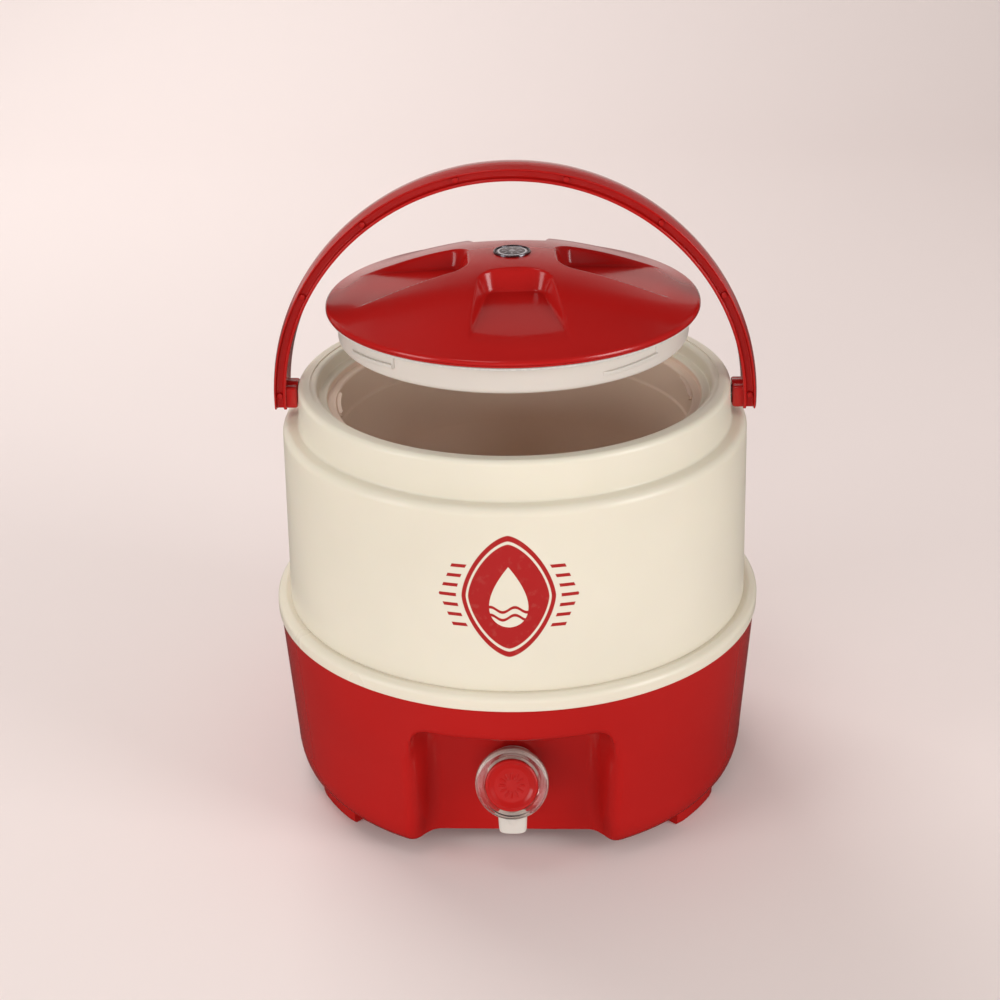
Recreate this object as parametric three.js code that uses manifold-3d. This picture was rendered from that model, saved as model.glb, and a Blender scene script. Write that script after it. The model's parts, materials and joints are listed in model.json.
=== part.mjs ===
// Insulated water jug with a bail handle, a push-button tap and a bayonet lid that is lifted off.
// Millimetres, +Z up. The origin is on the table under the jug's axis, and the tap faces -Y.
import * as THREE from 'three';
import { mergeVertices } from 'three/addons/utils/BufferGeometryUtils.js';
import { ConvexGeometry } from 'three/addons/geometries/ConvexGeometry.js';
import Module from 'manifold-3d';

const wasm = await Module();
wasm.setup();

// Clearances and cutters
const clearance = 0.3;
const pivotClearance = 0.4;
const buttonClearance = 0.6;
const lugClearance = 0.45;
const overrun = 4;

// Facets of wide circles, small circles, the nut and rounded corners
const wideFacets = 40;
const smallFacets = 16;
const nutSides = 6;
const cornerSteps = 2;

// Base: its heights stack up from the feet, and its radii step in from the top
const footHeight = 8;
const barrelRise = 38;
const nicheHeadroom = 31;
const nicheRoofRise = 18.7;
const baseTopRadius = 124;
const baseTaper = 4.8;
const baseEdgeInset = 5.4;
const baseRounding = 15.7;
const baseCurveShares = [0.12, 0.35, 0.65];
const baseWall = 3;
const shelfWidth = 9;
const shelfThickness = 3;
const plateThickness = 3;
const plateLedgeWidth = 3.6;

// Niche for the tap in the base's front: each width and depth counts on from the one before
const nicheDepth = 31;
const nicheBackHalfWidth = 36.5;
const nicheCornerWidth = 5.5;
const nicheCornerDepth = 4.5;
const nicheSideWidth = 5;
const nicheSideDepth = 9;
const nicheFlareWidth = 9;
const nicheFlareDepth = 9.5;

// Feet and their screws
const footWidth = 17;
const footAngle = 18;
const footAzimuths = { front_right: 56, back_right: 124, back_left: 236, front_left: 304 };
const screwGap = 0.55;
const screwShankRadius = 1.9;
const screwHeadRadius = 3.9;
const screwHeadHeight = 2.4;
const screwRecess = 3.5;
const screwTipLength = 2.6;

// Outer shell and skirt ring
const shellHeight = 100.7;
const shellTaper = 1.9;
const shellWall = 3;
const shoulderDrop = 7;
const shoulderFlat = 1.2;
const tongueDepth = 6;
const tongueWidth = 2.2;
const skirtOverhang = 1;
const skirtHeight = 8;
const skirtRounding = 3;

// Neck and rim
const neckStep = 8.3;
const neckWall = 3.5;
const neckWeb = 3;
const rimRise = 8.9;
const rimFlat = 0.7;

// Inner liner
const lipGap = 1.1;
const lipWall = 3.4;
const throatTaper = 1;
const throatDepth = 6.5;
const throatLedgeWidth = 4.2;
const lipDrop = 0.5;
const lipRounding = 1.5;
const ledgeDepth = 10.4;
const plugGap = 2.2;
const linerNicheGap = 2.4;
const linerFloorDrop = 20.3;
const linerCornerRadius = 8;
const linerWall = 2.2;
const linerPadRadius = 12;
const linerPadStep = 2.4;

// Bail handle and its pivots
const bailGap = 6;
const bailThickness = 7;
const bailDepth = 18;
const bailFlange = 1.8;
const bailWeb = 6;
const bailLegDrop = 4;
const bailFoldGap = 1.8;
const bossWall = 1;
const pinRadius = 3.2;
const pinHeadOverlap = 1.8;
const pinHeadThickness = 1.7;
const pinHeadSink = 0.5;
const pinFlangeOverlap = 1.3;
const pinFlangeThickness = 1.4;

// Lid
const lidGap = 1.6;
const lidDomeHeight = 25.7;
const lidLipHeight = 3.2;
const lidWall = 2.5;
const lidRaise = 46.6;
const lidTurnAtRest = 4;
const domeShapeShares = { spread: 2, fall: 1.24 };
const domeRadiusShares = [0.995, 0.95, 0.87, 0.76, 0.62, 0.46, 0.3];
const sealThickness = 1.5;
const sealWidth = 4;
const badgeRadius = 9;
const badgeRimWidth = 1.6;
const badgeThickness = 1.2;
const badgeRecess = 0.6;

// Finger pockets in the lid
const pocketCount = 4;
const pocketInnerRadius = 25.5;
const pocketMargin = 13.8;
const pocketInnerHalfWidth = 13.2;
const pocketOuterHalfWidth = 24;
const pocketInnerFloor = 14;
const pocketOuterFloor = 8;
const pocketCornerRadius = 4;
const pocketDraftShare = 0.48;
const pocketInnerDraftShare = 0.35;

// Plug under the lid, with its bayonet ramps, and the lugs in the liner
const plugStep = 5.4;
const plugHeight = 14.6;
const plugWall = 2;
const plugFlangeThickness = 2;
const plugCornerRadius = 2.5;
const rampGap = 0.7;
const rampHeight = 2.4;
const rampRise = 1.6;
const rampAngle = 22;
const rampDrop = 8.2;
const rampFirstAzimuth = 37;
const lugAngle = 18;
const lugHeight = 3;
const lugFirstAzimuth = 7;

// Tap
const barrelRadius = 7.5;
const barrelBoreRadius = 4.6;
const barrelTip = 2.4;
const gasketThickness = 1.5;
const gasketRadius = 11.5;
const tapFlangeRadius = 13;
const tapFlangeThickness = 2;
const nutAcrossCorners = 27;
const nutThickness = 5.5;
const headTilt = 20;
const headRadius = 9.5;
const headRearWall = 1.5;
const chamberRadius = 7;
const seatRearLength = 3;
const seatFrontLength = 1.4;
const seatPortRadius = 4;
const headFrontLength = 2.2;
const headFrontWall = 1.5;
const spoutShift = 2.9;
const spoutLength = 24.2;
const spoutTopRadius = 7.6;
const spoutTipRadius = 6.5;
const spoutBoreRadius = 4.8;
const spoutPortRadius = 2.6;
const spoutPortDrop = 8.7;
const collarRadius = 17.9;
const collarWidth = 4.4;
const collarLength = 5.3;
const collarRounding = 1.2;

// Push button, stem, valve seal and spring
const buttonTravel = 3.6;
const buttonHeight = 3.6;
const buttonWall = 1.7;
const buttonRounding = 1.4;
const stemRadius = 2;
const stemFlangeRadius = 3.2;
const stemFlangeThickness = 0.7;
const valveRadius = 5.8;
const valveThickness = 2;
const springRadius = 6;
const springWireRadius = 0.3;
const springTurns = 3;
const springStepsPerTurn = 8;
const springSides = 5;

// Base and shell, worked out from the sizes above
const baseFootZ = footHeight + clearance;
const baseWaistZ = baseFootZ + baseRounding;
const barrelHeight = baseFootZ + barrelRise;
const nicheTopZ = barrelHeight + nicheHeadroom;
const skirtZ = nicheTopZ + nicheRoofRise;
const plateTopZ = baseFootZ + plateThickness;
const plateLedgeZ = plateTopZ + clearance;
const foamFloorZ = plateLedgeZ + plateThickness + clearance;
const shellFootZ = skirtZ - tongueDepth;
const shelfTopZ = shellFootZ - clearance;
const baseWaistRadius = baseTopRadius - baseTaper;
const baseEdgeRadius = baseWaistRadius - baseEdgeInset;
const shelfRadius = baseTopRadius - baseWall - shelfWidth;
const plateLedgeRadius = baseEdgeRadius - baseWall - plateLedgeWidth;
const screwCircleRadius = plateLedgeRadius - screwGap - screwShankRadius;
const nicheBackDepth = baseTopRadius - nicheDepth;
const tongueRadius = baseTopRadius - baseWall - clearance;
const shellFootRadius = tongueRadius - tongueWidth - clearance;
const shellTopRadius = shellFootRadius - shellTaper;
const skirtRadius = baseTopRadius + skirtOverhang;

// Neck, liner and bail
const neckZ = skirtZ + shellHeight;
const shoulderZ = neckZ - shoulderDrop;
const pivotZ = neckZ + bailFoldGap + bailDepth / 2;
const rimZ = pivotZ + rimRise;
const ledgeZ = rimZ - ledgeDepth;
const bailCentreZ = pivotZ - bailLegDrop;
const neckRadius = shellTopRadius - neckStep;
const shoulderRadius = neckRadius + shoulderFlat;
const neckInnerRadius = neckRadius - neckWall;
const lipRadius = neckInnerRadius - pinFlangeThickness - lipGap;
const rimRounding = neckRadius - lipRadius - clearance - rimFlat;
const mouthRadius = lipRadius - lipWall;
const throatRadius = mouthRadius - throatTaper;
const seatRadius = throatRadius - throatLedgeWidth;
const lidRadius = seatRadius - lidGap;
const lidInnerRadius = lidRadius - lidWall;
const plugRadius = lidRadius - plugStep;
const linerBoreRadius = plugRadius + plugGap;
const linerFootRadius = nicheBackDepth - baseWall - linerNicheGap - linerWall;
const linerFloorHeight = barrelHeight - linerFloorDrop;
const linerPadDepth = linerFootRadius - linerPadStep;
const bailInnerRadius = neckRadius + bailGap;
const bailOuterRadius = bailInnerRadius + bailThickness;
const pinHeadRadius = pinRadius + pinHeadOverlap;
const pinFlangeRadius = pinRadius + pinFlangeOverlap;
const pivotBossRadius = pinHeadRadius + clearance + bossWall;
const pocketOuterRadius = lidRadius - pocketMargin;
const lidSeatZ = ledgeZ + clearance + sealThickness + clearance;
const lidZ = lidSeatZ + lidRaise;

// Tap, along its barrel and along its head
const headCos = Math.cos(THREE.MathUtils.degToRad(headTilt));
const headSin = Math.sin(THREE.MathUtils.degToRad(headTilt));
const nutOuterDepth = linerPadDepth - clearance - gasketThickness - clearance;
const barrelInnerDepth = nutOuterDepth - nutThickness - barrelTip;
const tapFlangeDepth = nicheBackDepth + clearance + gasketThickness + clearance;
const valveFront = -seatRearLength - clearance;
const stemShoulder = valveFront - valveThickness - clearance;
const chamberRearLength = buttonTravel + pivotClearance + stemFlangeThickness - stemShoulder;
const headRearLength = chamberRearLength + headRearWall;
const headDepth = tapFlangeDepth + headRearLength * headCos + headRadius * headSin;
const inletLength = (chamberRearLength + seatRearLength) / 2;
const headZ = barrelHeight + inletLength * headSin;
const spoutDepth = headDepth + spoutShift;
const spoutTipHeight = barrelHeight - spoutLength;
const spoutPortHeight = barrelHeight - spoutPortDrop;
const frontWallEnd = headFrontLength + headFrontWall;
const collarInnerRadius = collarRadius - collarWidth;
const buttonRadius = collarInnerRadius - buttonClearance;
const buttonFoot = frontWallEnd + pivotClearance + buttonTravel;
const buttonTop = buttonFoot + buttonHeight;
const buttonCeiling = buttonTop - buttonWall;

// Materials
const plastic = (color, roughness = 0.35) =>
  new THREE.MeshStandardMaterial({ color, roughness, metalness: 0 });
const creamPlastic = plastic('#e9e0cc');
const whitePlastic = plastic('#efe9dc');
const redPlastic = plastic('#b81e1c', 0.28);
const linerPlastic = plastic('#ddd2bf', 0.5);
const foamPlastic = plastic('#e8d9a8', 0.9);
const rubber = plastic('#d9d4cb', 0.8);
const clearPlastic = new THREE.MeshStandardMaterial({
  color: '#e8e4de', roughness: 0.1, metalness: 0, transparent: true, opacity: 0.45,
});
const darkEnamel = plastic('#2b2a33', 0.3);
const steel = new THREE.MeshStandardMaterial({ color: '#b9bcc0', roughness: 0.3, metalness: 1 });

// Geometry helpers
function signedVolume(geometry) {
  const position = geometry.attributes.position;
  const index = geometry.index;
  const [a, b, c] = [new THREE.Vector3(), new THREE.Vector3(), new THREE.Vector3()];
  let volume = 0;
  for (let i = 0; i < index.count; i += 3) {
    a.fromBufferAttribute(position, index.getX(i));
    b.fromBufferAttribute(position, index.getX(i + 1));
    c.fromBufferAttribute(position, index.getX(i + 2));
    volume += a.dot(b.cross(c));
  }
  return volume;
}

function closed(source) {
  const geometry = source.clone();
  geometry.deleteAttribute('normal');
  geometry.deleteAttribute('uv');
  const merged = mergeVertices(geometry);
  const corners = [];
  for (let i = 0; i < merged.index.count; i += 3) {
    const [a, b, c] = [0, 1, 2].map((k) => merged.index.getX(i + k));
    if (a !== b && b !== c && c !== a) corners.push(a, b, c);
  }
  merged.setIndex(corners);
  if (signedVolume(merged) < 0) merged.setIndex(corners.reverse());
  return merged;
}

function solid(source) {
  const geometry = closed(source);
  return new wasm.Manifold(new wasm.Mesh({
    numProp: 3,
    vertProperties: new Float32Array(geometry.attributes.position.array),
    triVerts: new Uint32Array(geometry.index.array),
  }));
}

function geometryOf(manifold) {
  const mesh = manifold.getMesh();
  const geometry = new THREE.BufferGeometry();
  geometry.setAttribute('position', new THREE.BufferAttribute(mesh.vertProperties, 3));
  geometry.setIndex(new THREE.BufferAttribute(mesh.triVerts, 1));
  return geometry;
}

function named(name, geometry, material) {
  const shown = geometry.index ? geometry : closed(geometry);
  shown.computeVertexNormals();
  const mesh = new THREE.Mesh(shown, material);
  mesh.name = name;
  return mesh;
}

function arc(centreR, centreZ, radiusR, radiusZ, from, to) {
  return Array.from({ length: cornerSteps + 1 }, (_, i) => {
    const angle = THREE.MathUtils.degToRad(from + ((to - from) * i) / cornerSteps);
    return [centreR + radiusR * Math.cos(angle), centreZ + radiusZ * Math.sin(angle)];
  });
}

// A profile of [radius, height] points, turned about Z; it closes on itself unless it ends on the axis
function turned(profile, facets = wideFacets) {
  const points = profile.map(([r, z]) => new THREE.Vector2(r, z));
  const first = points[0];
  const last = points[points.length - 1];
  if (first.x > 0 || last.x > 0) points.push(first.clone());
  return closed(new THREE.LatheGeometry(points, facets).rotateX(Math.PI / 2));
}

function disc(radius, lowZ, highZ, facets = smallFacets) {
  return turned([[0, lowZ], [radius, lowZ], [radius, highZ], [0, highZ]], facets);
}

function ring(innerRadius, outerRadius, lowZ, highZ, facets = smallFacets) {
  const corners = [[innerRadius, lowZ], [outerRadius, lowZ], [outerRadius, highZ], [innerRadius, highZ]];
  return turned(corners, facets);
}

// Round pieces that lie along Y or X are turned about Z and then laid over
const alongY = (geometry) => geometry.rotateX(Math.PI / 2);
const alongX = (geometry) => geometry.rotateY(Math.PI / 2);

function rodY(radius, nearY, farY, height, facets = smallFacets) {
  return solid(alongY(disc(radius, -farY, -nearY, facets)).translate(0, 0, height));
}

function azimuthPoint(radius, azimuth) {
  const angle = THREE.MathUtils.degToRad(azimuth);
  return [radius * Math.sin(angle), -radius * Math.cos(angle)];
}

// A block between two radii and two azimuths, where azimuth 0 is the front and +X is 90
function sector(innerRadius, outerRadius, azimuth, width, lowZ, highZ, steps = cornerSteps) {
  const azimuths = Array.from({ length: steps + 1 }, (_, i) => azimuth - width / 2 + (width * i) / steps);
  const outline = [
    ...azimuths.map((a) => azimuthPoint(outerRadius, a)),
    ...azimuths.reverse().map((a) => azimuthPoint(innerRadius, a)),
  ].map(([x, y]) => new THREE.Vector2(x, y));
  const shape = new THREE.Shape(outline);
  const block = new THREE.ExtrudeGeometry(shape, { depth: highZ - lowZ, bevelEnabled: false });
  return closed(block.translate(0, 0, lowZ));
}

// Base: outer radius by height, straight above the waist and rounded below it
function baseRadiusAt(z) {
  if (z >= baseWaistZ) {
    const share = (z - baseWaistZ) / (skirtZ - baseWaistZ);
    return THREE.MathUtils.lerp(baseWaistRadius, baseTopRadius, share);
  }
  const share = (baseWaistZ - z) / baseRounding;
  return baseEdgeRadius + (baseWaistRadius - baseEdgeRadius) * Math.sqrt(Math.max(0, 1 - share * share));
}

function baseOutline(inset, lowZ) {
  const heights = [lowZ, ...baseCurveShares.map((share) => lowZ + (baseWaistZ - lowZ) * share), baseWaistZ];
  return heights.map((z) => [baseRadiusAt(z) - inset, z]);
}

// The niche's plan, grown outwards by a wall: a flat back, leaning sides and flared front edges
function nichePlan(grow) {
  const far = skirtRadius + overrun;
  const side = [nicheBackHalfWidth + nicheCornerWidth, nicheBackDepth + nicheCornerDepth];
  const mouth = [side[0] + nicheSideWidth, side[1] + nicheSideDepth];
  const flare = [mouth[0] + nicheFlareWidth, mouth[1] + nicheFlareDepth];
  const half = [
    [nicheBackHalfWidth + grow, grow - nicheBackDepth],
    [side[0] + grow, grow / 2 - side[1]],
    [mouth[0] + grow, -mouth[1]],
    [flare[0] + grow, -flare[1]],
  ];
  const shape = new THREE.Shape();
  shape.moveTo(-half[0][0], half[0][1]);
  shape.lineTo(half[0][0], half[0][1]);
  shape.quadraticCurveTo(half[1][0] - grow / 2, half[0][1], half[1][0], half[1][1]);
  shape.lineTo(half[2][0], half[2][1]);
  shape.quadraticCurveTo(half[2][0], half[3][1], half[3][0], half[3][1]);
  shape.lineTo(half[3][0], -far);
  shape.lineTo(-half[3][0], -far);
  shape.lineTo(-half[3][0], half[3][1]);
  shape.quadraticCurveTo(-half[2][0], half[3][1], -half[2][0], half[2][1]);
  shape.lineTo(-half[1][0], half[1][1]);
  shape.quadraticCurveTo(-half[1][0] + grow / 2, half[0][1], -half[0][0], half[0][1]);
  return shape;
}

function nicheSolid(grow) {
  const lowZ = grow > 0 ? baseFootZ : baseFootZ - overrun;
  const depth = nicheTopZ + grow - lowZ;
  const options = { depth, bevelEnabled: false, curveSegments: cornerSteps };
  return solid(new THREE.ExtrudeGeometry(nichePlan(grow), options).translate(0, 0, lowZ));
}

function baseShell() {
  const outer = [...baseOutline(0, baseFootZ), [baseTopRadius, skirtZ]];
  const wallTop = baseTopRadius - baseWall;
  const inner = [
    [wallTop, skirtZ],
    [wallTop, shelfTopZ],
    [shelfRadius, shelfTopZ],
    [shelfRadius, shelfTopZ - shelfThickness],
    [baseRadiusAt(shelfTopZ - shelfThickness) - baseWall, shelfTopZ - shelfThickness],
    ...baseOutline(baseWall, plateLedgeZ + plateThickness).reverse(),
    [plateLedgeRadius, plateLedgeZ + plateThickness],
    [plateLedgeRadius, plateLedgeZ],
    [baseEdgeRadius - baseWall, plateLedgeZ],
    [baseEdgeRadius - baseWall, baseFootZ],
  ];
  const shell = solid(turned([...outer, ...inner]));
  const body = solid(turned([[0, baseFootZ], ...outer, [0, skirtZ]]));
  const tub = nicheSolid(baseWall).intersect(body);
  const holeSpan = [-nicheBackDepth - overrun, -nicheBackDepth + 2 * overrun];
  const tapHole = rodY(barrelRadius + clearance, ...holeSpan, barrelHeight);
  return geometryOf(shell.add(tub).subtract(nicheSolid(0)).subtract(tapHole));
}

function basePlate() {
  let plate = solid(disc(baseEdgeRadius - baseWall - clearance, baseFootZ, plateTopZ, wideFacets));
  plate = plate.subtract(nicheSolid(baseWall + clearance));
  for (const azimuth of Object.values(footAzimuths)) {
    plate = plate.subtract(screwBore(azimuth));
  }
  return geometryOf(plate);
}

function screwPlace(azimuth) {
  return azimuthPoint(screwCircleRadius, azimuth);
}

function screwBore(azimuth) {
  const [x, y] = screwPlace(azimuth);
  return solid(disc(screwShankRadius + clearance, -overrun, plateTopZ + overrun).translate(x, y, 0));
}

function foot(azimuth) {
  const [x, y] = screwPlace(azimuth);
  const [innerRadius, outerRadius] = [screwCircleRadius - footWidth / 2, screwCircleRadius + footWidth / 2];
  const block = solid(sector(innerRadius, outerRadius, azimuth, footAngle, 0, footHeight));
  const recess = solid(disc(screwHeadRadius + clearance, -overrun, screwRecess).translate(x, y, 0));
  return geometryOf(block.subtract(recess).subtract(screwBore(azimuth)));
}

function footScrew() {
  const headTop = screwRecess - clearance;
  return turned([
    [0, headTop - screwHeadHeight],
    [screwHeadRadius, headTop - screwHeadHeight],
    [screwHeadRadius, headTop],
    [screwShankRadius, headTop],
    [screwShankRadius, plateTopZ + screwTipLength],
    [0, plateTopZ + screwTipLength],
  ], smallFacets);
}

// Outer shell with the shoulder and the neck, an upturned cup's wall open at the bottom
function outerShell() {
  const shoulderWidth = shellTopRadius - shoulderRadius;
  const profile = [
    [shellFootRadius, shellFootZ],
    ...arc(shoulderRadius, shoulderZ, shoulderWidth, shoulderDrop, 0, 90),
    [neckRadius, neckZ],
    ...arc(neckRadius - rimRounding, rimZ - rimRounding, rimRounding, rimRounding, 0, 90),
    [lipRadius + clearance, rimZ],
    [lipRadius + clearance, rimZ - neckWeb],
    [neckInnerRadius, rimZ - neckWeb],
    [neckInnerRadius, neckZ - shellWall],
    ...arc(shoulderRadius, shoulderZ, shoulderWidth - shellWall, shoulderDrop - shellWall, 90, 0),
    [shellFootRadius - shellWall, shellFootZ],
  ];
  const hole = disc(pinRadius + clearance, -neckRadius - overrun, neckRadius + overrun);
  return geometryOf(solid(turned(profile)).subtract(solid(alongX(hole).translate(0, 0, pivotZ))));
}

function skirtRing() {
  const innerRadius = shellFootRadius + clearance;
  const lowZ = skirtZ + clearance;
  const highZ = lowZ + skirtHeight;
  return turned([
    [innerRadius, shellFootZ],
    [tongueRadius, shellFootZ],
    [tongueRadius, lowZ],
    [skirtRadius, lowZ],
    ...arc(skirtRadius - skirtRounding, highZ - skirtRounding, skirtRounding, skirtRounding, 0, 90),
    [innerRadius, highZ],
  ]);
}

// Liner: its outer surface, which the foam follows, and the cup, cut into floor, tube and rim
function linerOutside(grow) {
  const cornerR = linerFootRadius - linerCornerRadius;
  const cornerZ = linerFloorHeight + linerCornerRadius;
  const radius = linerCornerRadius + linerWall + grow;
  return [[0, cornerZ - radius], ...arc(cornerR, cornerZ, radius, radius, -90, 0)];
}

function wholeLiner() {
  const cornerR = linerFootRadius - linerCornerRadius;
  const cornerZ = linerFloorHeight + linerCornerRadius;
  const lipTop = rimZ - lipDrop;
  const outside = [
    ...linerOutside(0),
    [linerBoreRadius + linerWall, ledgeZ - linerWall],
    [lipRadius, ledgeZ - linerWall],
    [lipRadius, lipTop],
  ];
  const inside = [
    ...arc(mouthRadius + lipRounding, lipTop - lipRounding, lipRounding, lipRounding, 90, 180),
    [throatRadius, lipTop - throatDepth],
    [seatRadius, lipTop - throatDepth],
    [seatRadius, ledgeZ],
    [linerBoreRadius, ledgeZ],
    ...arc(cornerR, cornerZ, linerCornerRadius, linerCornerRadius, 0, -90),
    [0, linerFloorHeight],
  ];
  const bulk = solid(turned([...outside, [0, lipTop]]));
  const pad = rodY(linerPadRadius, -linerPadDepth - overrun, -linerPadDepth, barrelHeight).intersect(bulk);
  const tapHole = rodY(barrelRadius + clearance, -nicheBackDepth, -linerPadDepth + overrun, barrelHeight);
  let liner = solid(turned([...outside, ...inside])).add(pad).subtract(tapHole);
  for (let i = 0; i < pocketCount; i++) liner = liner.add(bayonetLug(i));
  return liner;
}

function linerParts() {
  const floorJointZ = linerFloorHeight + linerCornerRadius;
  const [above, floor] = wholeLiner().splitByPlane([0, 0, 1], floorJointZ);
  const [rim, tube] = above.splitByPlane([0, 0, 1], ledgeZ - lugHeight);
  return [floor, tube, rim].map(geometryOf);
}

// Lugs in the liner's bore and ramps on the plug; turning the lid brings each ramp under a lug
function bayonetLug(i) {
  const azimuth = lugFirstAzimuth + (360 * i) / pocketCount;
  const tipRadius = plugRadius + lugClearance;
  const highZ = ledgeZ;
  const outerRadius = linerBoreRadius + linerWall / 2;
  return solid(sector(tipRadius, outerRadius, azimuth, lugAngle, highZ - lugHeight, highZ));
}

function bayonetRamp(i) {
  const azimuth = rampFirstAzimuth + (360 * i) / pocketCount;
  const outer = linerBoreRadius - rampGap;
  const inner = plugRadius - plugWall / 2;
  const block = sector(inner, outer, azimuth, rampAngle, -rampDrop - rampHeight, -rampDrop);
  const position = block.attributes.position;
  for (let k = 0; k < position.count; k++) {
    const [x, y, z] = [position.getX(k), position.getY(k), position.getZ(k)];
    const turn = THREE.MathUtils.radToDeg(Math.atan2(x, -y)) - azimuth;
    const share = THREE.MathUtils.euclideanModulo(turn + 180, 360) / rampAngle - 180 / rampAngle + 1 / 2;
    position.setZ(k, z + rampRise * share);
  }
  return solid(block);
}

function foam() {
  const belowShelf = shelfTopZ - shelfThickness - clearance;
  const aboveShelf = shelfTopZ + clearance;
  const inset = shellWall + clearance;
  const topZ = pivotZ - pinFlangeRadius - clearance;
  const boreRadius = linerBoreRadius + linerWall + clearance;
  const profile = [
    [0, foamFloorZ],
    ...baseOutline(baseWall + clearance, foamFloorZ),
    [baseRadiusAt(belowShelf) - baseWall - clearance, belowShelf],
    [shelfRadius - clearance, belowShelf],
    [shelfRadius - clearance, aboveShelf],
    [shellFootRadius - inset, aboveShelf],
    ...arc(shoulderRadius, shoulderZ, shellTopRadius - shoulderRadius - inset, shoulderDrop - inset, 0, 90),
    [neckInnerRadius - clearance, neckZ - inset],
    [neckInnerRadius - clearance, topZ],
    [boreRadius, topZ],
    ...linerOutside(clearance).reverse(),
  ];
  const tapHole = rodY(barrelRadius + clearance, -nicheBackDepth, -linerPadDepth, barrelHeight);
  return geometryOf(solid(turned(profile)).subtract(nicheSolid(baseWall + clearance)).subtract(tapHole));
}

// Bail: a half ring of I-section with a round boss at each leg's end
function halfRing(outerRadius, innerRadius, depth) {
  const shape = new THREE.Shape();
  shape.moveTo(outerRadius, 0);
  shape.absarc(0, 0, outerRadius, 0, Math.PI, false);
  shape.lineTo(-innerRadius, 0);
  shape.absarc(0, 0, innerRadius, Math.PI, 0, true);
  const options = { depth, bevelEnabled: false, curveSegments: wideFacets / 2 };
  const flat = new THREE.ExtrudeGeometry(shape, options);
  return flat.rotateX(Math.PI / 2).translate(0, depth / 2, bailCentreZ);
}

function rodX(radius, nearX, farX) {
  return solid(alongX(disc(radius, nearX, farX)).translate(0, 0, pivotZ));
}

function bailHandle() {
  const channelDepth = (bailDepth - bailWeb) / 2;
  const channelRadii = [bailOuterRadius - bailFlange, bailInnerRadius + bailFlange];
  const channel = halfRing(...channelRadii, channelDepth + overrun);
  const shift = (bailWeb + channelDepth + overrun) / 2;
  let bail = solid(halfRing(bailOuterRadius, bailInnerRadius, bailDepth));
  bail = bail.subtract(solid(channel.clone().translate(0, -shift, -clearance)));
  bail = bail.subtract(solid(channel.clone().translate(0, shift, -clearance)));
  const legOuter = Math.sqrt(bailOuterRadius ** 2 - (pivotBossRadius + bailLegDrop) ** 2);
  const headSeat = legOuter - pinHeadSink - pinHeadThickness - clearance;
  const bossInner = neckRadius + pivotClearance;
  for (const side of [-1, 1]) {
    const span = (near, far) => (side > 0 ? [near, far] : [-far, -near]);
    bail = bail.add(rodX(pivotBossRadius, ...span(bossInner, legOuter)));
    const holeSpan = span(bossInner - overrun, bailOuterRadius + overrun);
    bail = bail.subtract(rodX(pinRadius + clearance, ...holeSpan));
    bail = bail.subtract(rodX(pinHeadRadius + clearance, ...span(headSeat, bailOuterRadius + overrun)));
  }
  return geometryOf(bail);
}

function pivotPin() {
  const legOuter = Math.sqrt(bailOuterRadius ** 2 - (pivotBossRadius + bailLegDrop) ** 2);
  const headOuter = legOuter - pinHeadSink;
  const flangeOuter = neckInnerRadius * Math.cos(Math.PI / wideFacets) - clearance;
  const flangeInner = flangeOuter - pinFlangeThickness;
  return turned([
    [0, flangeInner],
    [pinFlangeRadius, flangeInner],
    [pinFlangeRadius, flangeOuter],
    [pinRadius, flangeOuter],
    [pinRadius, headOuter - pinHeadThickness],
    [pinHeadRadius, headOuter - pinHeadThickness],
    [pinHeadRadius, headOuter],
    [0, headOuter],
  ], smallFacets);
}

// Lid dome: height over its lower edge by radius, then the same surface moved in by a wall
function domeHeightAt(radius) {
  const share = Math.max(0, 1 - (radius / lidRadius) ** domeShapeShares.spread);
  return lidLipHeight + (lidDomeHeight - lidLipHeight) * share ** domeShapeShares.fall;
}

function domeRadiusAt(height) {
  const share = Math.max(0, (height - lidLipHeight) / (lidDomeHeight - lidLipHeight));
  return lidRadius * (1 - share ** (1 / domeShapeShares.fall)) ** (1 / domeShapeShares.spread);
}

function domeProfile(inset, lowZ) {
  const scale = (lidRadius - inset) / lidRadius;
  const edge = domeRadiusAt(lowZ + inset) * scale;
  const surface = domeRadiusShares
    .map((share) => [share * lidRadius * scale, domeHeightAt(share * lidRadius) - inset])
    .filter(([radius]) => radius < edge);
  return [[0, lowZ], [edge, lowZ], ...surface, [0, lidDomeHeight - inset]];
}

// A finger pocket in front of the lid's centre, cut or grown by a wall
function pocketOutline(grow, rise) {
  const inner = -(pocketInnerRadius - grow - rise * pocketInnerDraftShare);
  const outer = -(pocketOuterRadius + grow);
  const spread = grow + rise * pocketDraftShare;
  const innerHalf = pocketInnerHalfWidth + spread;
  const outerHalf = pocketOuterHalfWidth + spread;
  const points = [];
  for (const side of [-1, 1]) {
    const corner = arc(side * (innerHalf - pocketCornerRadius), inner - pocketCornerRadius,
      side * pocketCornerRadius, pocketCornerRadius, 0, 90);
    points.push(...corner, [side * outerHalf, outer]);
  }
  const slope = (pocketOuterFloor - pocketInnerFloor) / (pocketOuterRadius - pocketInnerRadius);
  return points.map(([x, y]) => {
    const floor = pocketInnerFloor + slope * (-y - pocketInnerRadius);
    return new THREE.Vector3(x, y, floor - grow + rise);
  });
}

function pocketSolid(i, grow) {
  const rise = lidDomeHeight + overrun - pocketOuterFloor;
  const hull = new ConvexGeometry([...pocketOutline(grow, 0), ...pocketOutline(grow, rise)]);
  return solid(hull.rotateZ((2 * Math.PI * i) / pocketCount));
}

function withPockets(manifold, grow) {
  let result = manifold;
  for (let i = 0; i < pocketCount; i++) result = result.subtract(pocketSolid(i, grow));
  return result;
}

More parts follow.
